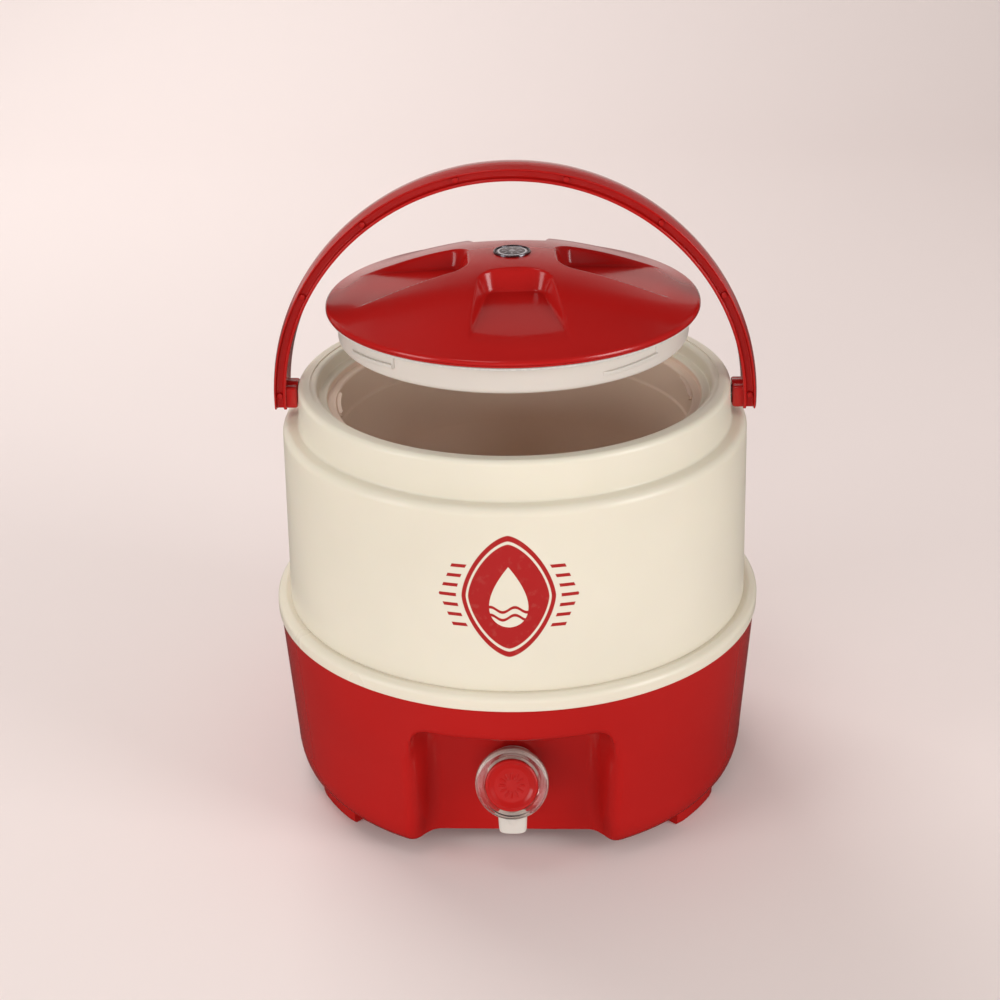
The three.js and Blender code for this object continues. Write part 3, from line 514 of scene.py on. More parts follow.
def metal_finish(name, color, roughness):
    """Bright metal with fine round turning marks."""
    finish = Finish(name, color, roughness, Metallic=1.0)
    finish.rough(finish.noise(300, 3).ramp(0.3, 0.7, roughness * 0.8, roughness * 1.3))
    finish.raise_by(finish.noise(900, 2, (1, 1, 0.2)), 0.08, 0.03)


def plain_finish(name, color, roughness, grain, strength):
    """A matt or soft material with one grain."""
    finish = Finish(name, color, roughness)
    grains, deepest = finish.noise(grain, 3), 0.86
    finish.paint(finish.mix(grains.ramp(0.35, 0.7), color, shade(color, deepest)))
    finish.raise_by(grains, strength, 0.4)


def badge_finish():
    """Dark enamel with a small pale ring of rays, a plain ornament."""
    finish = Finish("badge_enamel", ENAMEL, 0.22, Coat_Weight=0.5)
    x, y, _ = finish.axes()
    radius = (x * x + y * y).sum("SQRT") / MM

    def disc(edge):
        return radius.below(edge, 0.1)

    ray_count, faint = 8, 0.45
    ring_outside, ring_inside, ray_outside, ray_inside, hub = 7.2, 6.3, 5.0, 2.9, 1.7
    rays = (x.sum("ARCTAN2", y) * ray_count).sum("COSINE").ramp(0.55, 0.75)
    band = disc(ray_outside).minus(disc(ray_inside))
    ring = disc(ring_outside).minus(disc(ring_inside))
    mark = (rays.both(band) * faint).either(ring).either(disc(hub) * faint)
    finish.paint(finish.mix(mark, ENAMEL, ENAMEL_MARK))
    finish.rough(finish.noise(200, 2).ramp(0.3, 0.7, 0.18, 0.28))
    finish.raise_by(mark, 0.4, 0.05)


def finishes():
    """Makes every material once and keeps them by name."""
    colors = bpy.context.scene.jug_colors
    if "gloss_red" not in bpy.data.materials:
        shell, white, ring = tuple(colors.shell), tuple(colors.white), shade(colors.shell, 0.98)
        shell_finish(shell)
        moulded("gloss_red", tuple(colors.red), 0.88, 0.20, Coat_Weight=0.2, Coat_Roughness=0.08)
        liner_finish(tuple(colors.liner), shell)
        moulded("satin_white", white, 0.94, 0.34, Subsurface_Weight=0.05)
        moulded("cream_ring", ring, 0.95, 0.30, Subsurface_Weight=0.05)
        clear_finish()
        badge_finish()
        metal_finish("bright_steel", STEEL, 0.28)
        metal_finish("bright_plate", PLATE, 0.25)
        plain_finish("soft_rubber", RUBBER, 0.75, 700, 0.1)
        plain_finish("insulation", FOAM, 0.95, 260, 0.6)
    return bpy.data.materials


def dress(piece, material, body, slot, *nodes):
    """Gives a piece its material and body, and hides the nodes that it stands for; the slot is not used."""
    if material:
        piece.data.materials.clear()
        piece.data.materials.append(finishes()[material])
    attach(piece, body)
    if nodes:
        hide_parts(*nodes)


def make(name, shape, material, body, slot, *nodes, sharp=SHARP):
    """A dressed piece from its vertices and faces."""
    dress(new_object(name, *shape, sharp), material, body, slot, *nodes)


# Pieces of the body; their outlines hold (radius, height, rounding) in millimetres
def build_shell():
    low, high = box_mm("outer_shell")
    top, seam = high.z, low.z + 6
    profile = rounded([
        (118.2, low.z), (118.2, seam + 8, 1), (116.4, top - 19.9, 7.5), (108.5, top - 19.3, 1.1),
        (107.9, top - 8, 1), (107.6, top, 5.4), (101.9, top - 0.02), (101.9, top - 3, 0.2),
        (104.6, top - 3, 0.3), (104.5, top - 22, 1), (112.5, top - 23.5, 5), (115.2, low.z + 60, 1),
        (115.2, low.z)], 8)
    make("shell", turned(profile, WIDE), "cream_shell", "jug", "shell_cream", "outer_shell")


def build_skirt_ring():
    low, high = box_mm("skirt_ring")
    profile = rounded([
        (118.5, low.z), (120.7, low.z, 0.3), (120.7, low.z + 6.3), (125.0, low.z + 6.3, 0.7),
        (125.0, high.z - 1.6, 3.0), (121.0, high.z, 3.0), (118.05, high.z - 0.7), (118.05, high.z - 2.2),
        (118.5, high.z - 3)], 7)
    make("skirt", turned(profile, WIDE), "cream_ring", "jug", "ring_white", "skirt_ring")


def build_liner():
    """The liner as one skin, with the flat pad round the tap's bore and the four lugs that lock the lid."""
    low, high = box_mm("liner_floor")[0], box_mm("liner_rim")[1]
    ledge_drop, floor_wall = 9.9, 2.2
    top, ledge, floor = high.z, high.z - ledge_drop, low.z + floor_wall
    outside = [(0, low.z), (77.6, low.z, 9), (90.7, ledge - 2.5, 1), (101.8, ledge - 2.2, 0.6)]
    rim = [(101.98, top, 0.1), (98.6, top, 2.6), (97.7, top - 6.5, 0.9), (93.6, top - 6.9, 1.2)]
    inside = [
        (93.4, ledge, 0.8), (88.8, ledge, 1.2), (88.5, ledge - 16, 1.5), (87.7, ledge - 17, 1.5),
        (85.6, floor + 20, 6), (85.2, floor, 8), (30, floor, 2), (28, floor + 0.8, 2), (0, floor + 0.8)]
    vertices, faces = turned(rounded(outside + rim + inside, 7), WIDE)
    pad_y, pad_z, pad_radius, pad_blend = -83.0, 46.3, 13.0, 3
    inner_radius, pad_top = 88.2, 80
    for i, (x, y, z) in enumerate(vertices):
        low_down = sqrt(x * x + y * y) < inner_radius and z < pad_top
        reach = sqrt(x * x + (z - pad_z) ** 2) - pad_radius
        if low_down and reach < pad_blend and y < pad_y:
            vertices[i] = (x, y + (pad_y - y) * eased(1 - reach / pad_blend), z)
    parts = [(vertices, faces)]
    lug_reach, lug_depth = 1.9, 3.0
    lug_corners = [(0, 0), (lug_reach, 0), (lug_reach, -lug_depth), (0, -lug_depth)]
    lug_radius, lug_first, lug_spread, steps = 88.75, 7, 18, 12
    for k in range(4):
        rows = []
        for step in range(steps + 1):
            turn = lug_first + 90 * k - lug_spread / 2 + lug_spread * step / steps
            draft = 0.5 if step in (0, steps) else 1
            rows.append([
                tuple(azimuth(lug_radius - x * draft, turn, ledge + z * draft)) for x, z in lug_corners])
        parts.append(lofted(rows))
    make("liner", join(*parts), "waxy_liner", "jug", "liner_cream", "liner_floor", "inner_liner", "liner_rim")


def niche_wall(x):
    """How far in front of the axis the niche's wall lies at a distance from its middle."""
    back, bend, side, depth, rise = 35.0, 42.5, 47.0, 93.0, 5.2
    side_slope, flank_depth, flank_slope = 1.95, 107.0, 1.6
    if x <= back:
        return depth
    if x <= bend:
        return depth + rise * ((x - back) / (bend - back)) ** 2
    if x <= side:
        return depth + rise + (x - bend) * side_slope
    return flank_depth + (x - side) * flank_slope


def base_radius(z, foot, top):
    """The base's radius at a height, between the heights of its foot and its top."""
    waist = foot + FOOT_CURVE
    if z >= waist:
        return WAIST_RADIUS + TOP_GROWTH * (z - waist) / (top - waist)
    return FOOT_RADIUS + FOOT_INSET * sqrt(max(0.0, 1 - ((waist - z) / FOOT_CURVE) ** 2))


def base_rows(foot, top, roof, edge, corner):
    """Rows of the base as (height, kind, how far inwards), from its top down to its underside."""
    waist, edge_steps, roof_steps, corner_steps = foot + FOOT_CURVE, 8, 6, 7
    rows = [(z, OUTSIDE, 0.0) for z in np.linspace(top, roof + edge + 0.6, 6)]
    for k in range(edge_steps + 1):
        turn = pi / 2 * k / edge_steps
        rows.append((roof + edge - edge * sin(turn), EDGE, edge * (1 - cos(turn))))
    rows += [(roof, ROOF, k / roof_steps) for k in range(1, roof_steps)]
    for k in range(corner_steps + 1):
        turn = pi / 2 * k / corner_steps
        rows.append((roof - corner * (1 - cos(turn)), CORNER, corner * (1 - sin(turn))))
    rows += [(z, WALL, 0.0) for z in np.linspace(roof - corner - 1.5, waist + 2, 12)]
    rows += [(z, WALL, 0.0) for z in foot + FOOT_CURVE * np.cos(np.linspace(0.05, pi / 2 - 0.05, 10)) * 0.98]
    return rows + [(foot + 0.25, WALL, 0.0), (foot, UNDERSIDE, 0.6), (foot, UNDERSIDE, 2.4)]


def build_base():
    """The red base as one skin with the niche for the tap in its front, then given its wall."""
    low, high = box_mm("base_shell")
    foot, top, roof, edge, corner = low.z, high.z, low.z + 69.0, 5.0, 4.0
    waist = foot + FOOT_CURVE
    fall_start, fall_radius = 39.7, 9.0
    taper, taper_start, taper_reach = 0.05, 4, 20
    soft_least, soft_growth, soft_reach = 1.5, 9.5, 16

    def depth_at(x, z, row):
        """The outside's depth at a point, and how far the niche goes in from there."""
        outer = sqrt(max(0.0, base_radius(z, foot, top) ** 2 - x * x))
        wide = abs(x) * (1 - taper * eased((waist + taper_start - z) / taper_reach))
        deep = outer - niche_wall(wide)
        soft = soft_least + soft_growth * eased((roof - row) / soft_reach)
        overlap = max(soft - abs(deep), 0) / soft
        return outer, max(deep, 0) + overlap * overlap * soft / 4

    def level_at(x, z):
        """A row's height where the niche's rounded upper corners bend it down."""
        over = min(fall_radius, max(0.0, abs(x) - fall_start))
        fall = fall_radius - sqrt(fall_radius ** 2 - over ** 2)
        fall *= min(1.0, max(0.0, (top - z) / (top - roof - edge))) if z > roof else 1.0
        fall *= min(1.0, max(0.0, (z - waist) / (roof - waist))) if z < roof else 1.0
        return z - fall

    def inwards_at(kind, value, deep):
        """How far a point of a row lies inside the base's outline."""
        rim = min(edge, deep)
        if kind == OUTSIDE:
            return 0.0
        if kind == EDGE:
            return min(value, deep)
        if kind == ROOF:
            return rim + (max(rim, deep - corner) - rim) * value
        if kind == CORNER:
            return max(rim, deep - value)
        return deep + value

    front, back = 62.0, 120
    columns = sorted(set(np.round(np.concatenate([
        np.linspace(-35, 35, 29), np.linspace(35, 50, 26), -np.linspace(35, 50, 26),
        np.linspace(50, front, 14), -np.linspace(50, front, 14)]), 4).tolist()))
    start = atan2(front, sqrt(base_radius(roof, foot, top) ** 2 - front ** 2))
    around = [start + (2 * pi - 2 * start) * k / back for k in range(1, back)]
    rows = base_rows(foot, top, roof, edge, corner)
    vertices = []
    for z, kind, value in rows:
        for x in columns:
            level = level_at(x, z)
            outer, deep = depth_at(x, level, z)
            vertices.append((x, inwards_at(kind, value, deep) - outer, level))
        radius = base_radius(z, foot, top) - (value if kind == UNDERSIDE else 0.0)
        vertices += [(radius * sin(turn), -radius * cos(turn), z) for turn in around]
    base = new_object("base", vertices, grid_faces(len(rows), len(columns) + len(around)), 60)
    wall, wall_width = base.modifiers.new("wall", "SOLIDIFY"), 2.4
    wall.thickness, wall.offset = wall_width * MM, -1
    mesh = bpy.data.meshes.new_from_object(base.evaluated_get(bpy.context.evaluated_depsgraph_get()))
    base.modifiers.remove(wall)
    base.data = mesh
    smooth(mesh, 50)
    dress(base, "gloss_red", "jug", "moulded_red", "base_shell")


def build_feet():
    section = rounded([
        (0, 7.95), (-7.7, 7.95, 0.1), (-7.7, 0, 1.2), (8.2, 0, 1.0), (8.6, 7.95, 0.1), (0, 7.95)], 5)[1:-1]
    spread, steps, rows = 17.8, 8, []
    for step in range(steps + 1):
        turn = -spread / 2 + spread * step / steps
        shrink = 0.93 if step in (0, steps) else 1
        rows.append([
            tuple(azimuth(FOOT_CIRCLE + x * shrink, turn, z) - azimuth(FOOT_CIRCLE, 0)) for x, z in section])
    places = [(azimuth(FOOT_CIRCLE, turn), (0, 0, radians(turn))) for turn in FEET.values()]
    nodes = ["foot_" + name for name in FEET]
    copies("feet", lofted(rows), places, "gloss_red", "jug", "moulded_red", *nodes)

    screw = rounded([
        (0, 1.1), (1.6, 1.1, 0.1), (1.9, 0.8, 0.1), (3.9, 0.8, 0.5), (3.9, 3.2, 0.2), (1.9, 3.2),
        (1.9, 13.9, 0.5), (0, 13.9)], 3)
    screw_turn = 20
    places = [(azimuth(FOOT_CIRCLE, turn), (0, 0, radians(turn + screw_turn))) for turn in FEET.values()]
    nodes = ["foot_screw_" + name for name in FEET]
    copies("foot_screws", turned(screw, 32), places, "bright_steel", "jug", "steel", *nodes)


# Pieces of the bail
def build_bail():
    pivot = bpy.context.scene.jug_sizes.pivot_height / MM
    bow_drop, steps = 4.0, 160
    centre, half = pivot - bow_drop, 8.99
    section = rounded([
        (0, half), (119.9, half, 1.2), (121.5, 0, 40), (119.9, -half, 1.2), (119.2, -half, 0.5),
        (119.0, -6.1, 0.8), (115.6, -6.1, 0.8), (115.4, -half, 0.5), (114.0, -half, 0.5), (113.9, 0, 20),
        (114.0, half, 0.5), (115.4, half, 0.5), (115.6, 6.1, 0.8), (119.0, 6.1, 0.8), (119.2, half, 0.5),
        (0, half)], 4, 0.2)[1:-1]
    frames = []
    for step in range(steps + 1):
        turn = pi * step / steps
        frames.append(Matrix(((cos(turn), 0, 0, 0), (0, 1, 0, 0), (sin(turn), 0, 0, centre), (0, 0, 0, 1))))
    for drop, grow in ((1.4, 0.99), (0.8, 0.93)):
        narrow = Matrix.Diagonal((1, grow, 1, 1))
        frames.insert(0, Matrix.Translation((0, 0, -drop)) @ frames[0] @ narrow)
        frames.append(Matrix.Translation((0, 0, -drop)) @ frames[-1] @ narrow)
    parts = [swept(section, frames)]
    boss = rounded([
        (3.5, 108.5), (6.1, 108.5, 0.6), (6.3, 114.5, 0.3), (6.3, 119.6, 0.6), (5.4, 119.9, 0.2),
        (5.3, 118.2, 0.2), (3.5, 118.2)], 4)
    block = rounded([(0, 9), (9, 9, 2.0), (9, -9, 2.0), (-9, -9, 2.0), (-9, 9, 2.0), (0, 9)], 4)[:-1]
    block_width, block_height, block_z = 0.86, 0.62, pivot - 0.4
    for side in (1, -1):
        turn = Matrix.Translation((0, 0, pivot)) @ Matrix.Rotation(side * pi / 2, 4, "Y")
        parts.append(turned(boss, 48, place=turn))
        pad = []
        for x, grow in ((108.7, 0.9), (109.1, 0.97), (109.8, 1), (114.6, 1)):
            across, up = (grow * block_width, 0, 0, 0), (0, grow * block_height, 0, block_z)
            pad.append(Matrix(((0, 0, 0, side * x), across, up, (0, 0, 0, 1))))
        parts.append(swept(block, pad))
    make("bail", join(*parts), "gloss_red", "bail", "moulded_red", "bail_handle")

    pip = rounded([(0, 0), (1.7, 0), (1.5, 1.5, 0.5), (0, 1.7)], 4)
    pip_circle, pip_depth, pip_turns = 117.3, 6.0, (2.2, 28.8, 52.3, 77, 103, 127.7, 151.2, 177.8)
    places = []
    for face in (-1, 1):
        for turn in pip_turns:
            angle = radians(turn)
            spot = Vector((pip_circle * cos(angle), face * pip_depth, centre + pip_circle * sin(angle)))
            places.append((spot, (-face * pi / 2, 0, 0)))
    copies("bail_pips", turned(pip, 24), places, "gloss_red", "bail", "moulded_red")

    pin = rounded([
        (0, 102.6), (4.5, 102.6, 0.3), (4.5, 103.9), (3.2, 103.9), (3.2, 118.5), (5.0, 118.5, 0.2),
        (5.0, 119.6, 0.7), (2.5, 120.1, 2), (0, 120.1)], 4)
    places = [(Vector((0, 0, pivot)), (0, side * pi / 2, 0)) for side in (1, -1)]
    nodes = "pivot_pin_right", "pivot_pin_left"
    copies("pivot_pins", turned(pin, 48), places, "bright_steel", "jug", "steel", *nodes)


# Pieces of the lid
def soft_max(a, b, blend):
    """The larger of two surfaces, blended where they are nearly level."""
    near = np.maximum(blend - np.abs(a - b), 0) / blend
    return np.maximum(a, b) + near * near * blend / 4


def dome_surface(x, y):
    """The lid's top over a point: the dome, dipped by four finger pockets with sloping floors."""
    radius = np.sqrt(x * x + y * y)
    height = LIP_HEIGHT + DOME_RISE * np.maximum(0, 1 - (radius / LID_RADIUS) ** 2) ** DOME_FALL
    start, length, corner, lean, draft, clear = 25.5, 52.5, 4.5, 0.98, 0.42, 99.0
    inner_half, widening, inner_floor, falling = 13.2, 10.8, 14.0, 6.0
    wall_blend, rim_blend, hub = 1.8, 1.5, 8
    for turn in range(4):
        c, s = cos(pi / 2 * turn), sin(pi / 2 * turn)
        side, out = np.abs(x * c + y * s), x * s - y * c
        share = (out - start) / length
        half_width, floor = inner_half + widening * share, inner_floor - falling * share
        across, behind = (side - half_width) * lean + corner, start - out + corner
        diagonal = np.sqrt(np.maximum(across, 0) ** 2 + np.maximum(behind, 0) ** 2)
        distance = np.where((across > 0) & (behind > 0), diagonal, np.maximum(across, behind)) - corner
        wall = soft_max(distance / draft, np.zeros_like(distance), wall_blend)
        pocket = np.where(out > hub, floor + wall, clear)
        height = -soft_max(-height, -pocket, rim_blend)
    return height


def build_lid():
    place, steps = lid_place(), 512

    # Rings of points on the dome, between its badge's seat and its edge, close together over the pockets
    radii = np.concatenate([np.linspace(9.5, 22, 14), np.linspace(22.4, 80, 132), np.linspace(81, 89.2, 12)])
    turns = np.arange(steps) * 2 * pi / steps
    x, y = radii[:, None] * np.sin(turns)[None], -radii[:, None] * np.cos(turns)[None]
    z = dome_surface(x, y)
    dome = list(zip(x.ravel().tolist(), y.ravel().tolist(), z.ravel().tolist()))
    seat = [(0, 25.1), (9.3, 25.1), (9.3, 25.45)]
    edge = rounded([
        (88.6, 4.0), (91.75, 3.0, 2.6), (91.7, 0.0, 0.9), (89.3, 0.0, 0.3), (89.3, 2.3), (0, 2.3)], 6)[1:]
    vertices = [tuple(place @ Vector(v)) for v in turned(seat, steps)[0] + dome + turned(edge, steps)[0]]
    shape = vertices, grid_faces(len(vertices) // steps, steps)
    make("lid_top", shape, "gloss_red", "lid", "moulded_red", "lid_dome", sharp=50)


def build_plug():
    profile = rounded([
        (0, -14.0), (60, -14.0, 3), (64, -14.6, 3), (86.3, -14.6, 2.2), (86.45, -0.4, 0.5), (88.9, 0, 0.3),
        (88.9, 1.9), (0, 1.9)], 6)
    make("plug", turned(profile, WIDE, place=lid_place()), "satin_white", "lid", "plug_white", "lid_plug")

    # A rising ramp on the plug's side, and the upright stop at its end
    root, face, steps, spread, rise = 86.0, 86.3, 16, 22, 1.6
    ramp = []
    for k in range(steps + 1):
        share = k / steps
        turn = -spread / 2 + spread * share
        grow = min(1.0, share * 8 + 0.15)
        low, high = -10.6 + rise * share, -8.2 + rise * share
        ramp.append([tuple(azimuth(r, turn, h)) for r, h in (
            (root, low), (face + 1.1 * grow, low + 0.3), (face + 1.5 * grow, low + 0.9),
            (face + 1.5 * grow, high - 0.2), (face + 1.3 * grow, high), (root, high))])
    stop = []
    for turn, grow in ((10.4, 0.4), (10.7, 1.0), (11.3, 1.0), (11.6, 0.4)):
        stop.append([tuple(azimuth(r, turn, h)) for r, h in (
            (root, -8.5), (86.2 + grow, -8.3), (86.2 + grow, -2.6), (root, -2.3))])
    size, first = bpy.context.scene.jug_sizes, 37
    places = []
    for k in range(4):
        turn = Euler((0, 0, size.lid_turn + radians(first + 90 * k)))
        places.append((Vector((0, 0, size.lid_height / MM)), tuple(turn)))
    copies("plug_ramps", join(lofted(ramp), lofted(stop)), places, "satin_white", "lid", "plug_white")


def build_seal():
    profile = rounded([(86.8, -1.75), (90.3, -1.75, 0.5), (90.6, -0.35, 0.4), (86.8, -0.35), (86.8, -1.0)], 5)
    ring = turned(profile[:-1], WIDE, place=lid_place())
    make("seal_ring", ring, "soft_rubber", "seal", "seal_rubber", "lid_seal")


def build_badge():
    height = 25.4
    place = lid_place() @ Matrix.Translation((0, 0, height))
    rim = rounded([(8.1, 0), (9.0, 0, 0.1), (9.0, 1.0, 0.4), (8.4, 1.1, 0.3), (8.1, 0.6, 0.2), (8.1, 0)], 5)
    make("badge_rim", turned(rim, 96, place=place), "bright_plate", "lid", "badge_metal", "lid_badge_ring")
    face = rounded([(0, 0), (8.0, 0, 0.1), (8.0, 0.6, 0.25), (4, 0.85, 3), (0, 0.9)], 5)
    make("badge_face", turned(face, 96, place=place), "badge_enamel", "lid", "badge_dark", "lid_badge_disc")


# Pieces of the tap
def build_tap():
    depth = bpy.context.scene.jug_sizes.head_depth / MM
    head = head_place()
    barrel = rounded([
        (4.6, 73.0), (7.2, 73.0, 0.5), (7.4, 94.2), (7.4, 95.1), (12.9, 95.1, 0.3), (12.9, 97.0, 0.8),
        (8.6, 97.6, 1.6), (7.6, 104.0, 1), (4.6, 104.0)], 5)
    core = rounded([
        (0, -11.7), (7.5, -11.7, 2.5), (9.3, -7.5, 2.5), (9.4, 3.6, 0.5), (6.8, 3.6, 0.2), (6.8, 2.9, 0.2),
        (2.4, 2.9), (2.4, -11)], 6)

    # The spout: squarish and flattened outside, round in its bore
    tip = box_mm("tap_body")[0].z
    outline = [
        (0.4, 33), (4.7, 32.5), (4.9, tip + 1.3), (5.1, tip + 1.05), (6.5, tip + 1.0), (6.75, tip + 1.25),
        (7.6, 44), (7.0, 47), (0.4, 48.3)]
    steps, bore, squareness, flatness, spout_shift = 64, 5.2, 3.2, 0.84, 2.9
    spout = []
    for radius, z in outline:
        row = []
        for k in range(steps):
            c, s = cos(2 * pi * k / steps), sin(2 * pi * k / steps)
            wide = deep = radius
            if radius >= bore:
                wide *= (abs(c) ** squareness + abs(s) ** squareness) ** (-1 / squareness)
                deep = wide * flatness
            row.append((wide * c, deep * s - depth - spout_shift, z))
        spout.append(row)
    vertices, faces = lofted(spout)

    # What would stand in front of the collar's back is pushed level with it
    out, origin, collar_back = head.to_3x3() @ Vector((0, 0, 1)), head.to_translation(), 1.8
    for i, vertex in enumerate(vertices):
        beyond = (Vector(vertex) - origin).dot(out) - collar_back
        if beyond > 0:
            vertices[i] = tuple(Vector(vertex) - out * beyond)
    tap = join(turned(barrel, 64, place=barrel_place()), turned(core, 96, place=head), (vertices, faces))
    make("tap_white", tap, "satin_white", "jug", "plug_white", "tap_body")

    ring = rounded([
        (9.9, 3.6), (9.9, 2.3), (16.9, 2.2, 0.8), (17.85, 5.5, 2), (17.5, 8.2, 1.0), (15.9, 9.0, 1.2),
        (13.7, 8.2, 0.7), (13.5, 3.7), (9.9, 3.7)], 7)[:-1]
    make("clear_collar", turned(ring, 128, place=head), "clear_ring", "jug", "clear_plastic", "tap_collar")
    cap = rounded([
        (0, 9.6), (11.2, 9.6, 0.3), (11.2, 7.7), (12.6, 7.7, 0.3), (12.85, 10.2, 1), (12.6, 12.3, 1.2),
        (10.6, 12.1, 1.4), (8.6, 11.1, 2.2), (4, 10.75, 6), (0, 10.7)], 7)
    make("push_button", turned(cap, 128, place=head), "gloss_red", "button", "moulded_red", "tap_button")

    half, grip_round = 0.55, 0.5
    grip = rounded([
        (0, -half), (half, -half, grip_round), (half, half, grip_round), (-half, half, grip_round),
        (-half, -half, grip_round), (0, -half)], 4)[:-1]
    grip_length, grip_circle, grip_height, grip_count = 3.4, 4.6, 10.85, 12
    lift = []
    for z, grow in ((-0.4, 1), (0.12, 1), (0.3, 0.7)):
        lift.append(Matrix.Translation((0, 0, z)) @ Matrix.Diagonal((grow, grip_length * grow, 1, 1)))
    places = []
    for k in range(grip_count):
        turn = Matrix.Rotation(2 * pi * k / grip_count, 4, "Z")
        place = head @ turn @ Matrix.Translation((0, -grip_circle, grip_height))
        places.append((place.to_translation(), tuple(place.to_euler())))
    copies("button_grips", swept(grip, lift), places, "gloss_red", "button", "moulded_red")


def build_tap_inside():
    head = head_place()
    stem = rounded([(0, -6.3), (3.2, -6.3, 0.2), (3.2, -5.6), (2, -5.6), (2, 9.3, 0.3), (0, 9.3)], 3)
    make("valve_stem", turned(stem, 32, place=head), "satin_white", "button", "plug_white", "tap_stem")
    disc = rounded([(2.3, -5.3), (5.8, -5.3, 0.4), (5.8, -3.3, 0.6), (2.3, -3.3)], 4)
    make("valve_disc", turned(disc, 48, place=head), "soft_rubber", "button", "seal_rubber", "tap_valve_seal")

    sizes = {"Turns": 3.0, "Radius": 0.006, "Length": 0.0048, "Wire": 0.0003}
    inputs = {label: ("Float", value) for label, value in sizes.items()}
    tree = Tree("return_spring", {**inputs, "Finish": ("Material", None)})
    coil = tree.add("GeometryNodeCurveSpiral", {
        "Resolution": 28, "Rotations": tree.given["Turns"], "Start Radius": tree.given["Radius"],
        "End Radius": tree.given["Radius"], "Height": tree.given["Length"]})
    wire = tree.add("GeometryNodeCurvePrimitiveCircle", {"Resolution": 10, "Radius": tree.given["Wire"]})
    tube = tree.add("GeometryNodeCurveToMesh", {
        "Curve": coil.outputs[0], "Profile Curve": wire.outputs[0], "Fill Caps": True})
    tree.finish(tube.outputs[0], tree.given["Finish"])
    spring = tree.make("return_coil", {**sizes, "Finish": finishes()["bright_steel"]})
    to_metres = head.copy()
    to_metres.translation = head.to_translation() * MM
    spring.data.transform(to_metres @ Matrix.Translation((0, 0, 0.0043)))
    smooth(spring.data, 60)
    dress(spring, None, "jug", "steel", "tap_spring")
    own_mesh(spring)

    along = barrel_place()
    gaskets = ("gasket_front", 93.3, "tap_gasket_outer"), ("gasket_back", 81.2, "tap_gasket_inner")
    for name, near, node in gaskets:
        section = rounded([(7.8, near), (11.5, near, 0.3), (11.5, near + 1.5, 0.3), (7.8, near + 1.5)], 3)
        make(name, turned(section, 64, place=along), "soft_rubber", "jug", "seal_rubber", node)
    outside, bore, bevel, back, front = 13.4, 7.8, 0.94, 75.4, 80.9
    rows = [
        (outside * bevel, back), (outside, back + 0.5), (outside, front - 0.5), (outside * bevel, front),
        (bore, front), (bore, back)]
    make("back_nut", turned(rows, 6, place=along), "satin_white", "jug", "plug_white", "tap_nut", sharp=25)


def paint_hidden():
    """Finishes for the nodes that are shown as they are: the foam pieces and the base plate."""
    hidden = {"insulation_foam": "insulation", "lid_foam": "insulation", "base_plate": "gloss_red"}
    for node, material in hidden.items():
        piece = frame["nodes"][node]
        piece.data.materials.clear()
        piece.data.materials.append(finishes()[material])


# Stage
def stage_finish(name, color):
    """A matt floor and backdrop; glossy pieces mirror the floor far more darkly than the lower backdrop."""
    mirrored_floor, mirrored_backdrop = 0.09, 0.85
    finish = Finish(name, color, 0.75)
    path = finish.add("ShaderNodeLightPath")
    mirrored = Term(finish, path.outputs["Is Glossy Ray"])
    x, y, z = finish.axes()
    backdrop = y.ramp(1.1, 1.7).both(z.ramp(1.3, 2.2, 1.0, 0.0)) * x.ramp(0.2, 1.8, 1.0, 0.5)
    dim = finish.mix(backdrop, shade(color, mirrored_floor), shade(color, mirrored_backdrop))
    finish.paint(finish.mix(mirrored, color, dim))
    finish.raise_by(finish.noise(300, 3), 0.03, 0.3)
    return finish.material


def build_sky():
    """The world: the strength of its one colour depends on who looks at it."""
    world = bpy.data.worlds.new("studio")
    world.use_nodes = True
    tree = world.node_tree
    sky = tree.nodes["Background"]
    sky.inputs[0].default_value = (*SKY, 1)
    path, strength = tree.nodes.new("ShaderNodeLightPath"), tree.nodes.new("ShaderNodeMapRange")
    strength.inputs["To Min"].default_value, strength.inputs["To Max"].default_value = SKY_LIGHT, SKY_MIRRORED
    tree.links.new(path.outputs["Is Glossy Ray"], strength.inputs["Value"])
    seen = tree.nodes.new("ShaderNodeMapRange")
    seen.inputs["To Max"].default_value = SKY_SEEN
    tree.links.new(path.outputs["Is Camera Ray"], seen.inputs["Value"])
    tree.links.new(strength.outputs[0], seen.inputs["To Min"])
    tree.links.new(seen.outputs[0], sky.inputs[1])
    bpy.context.scene.world = world


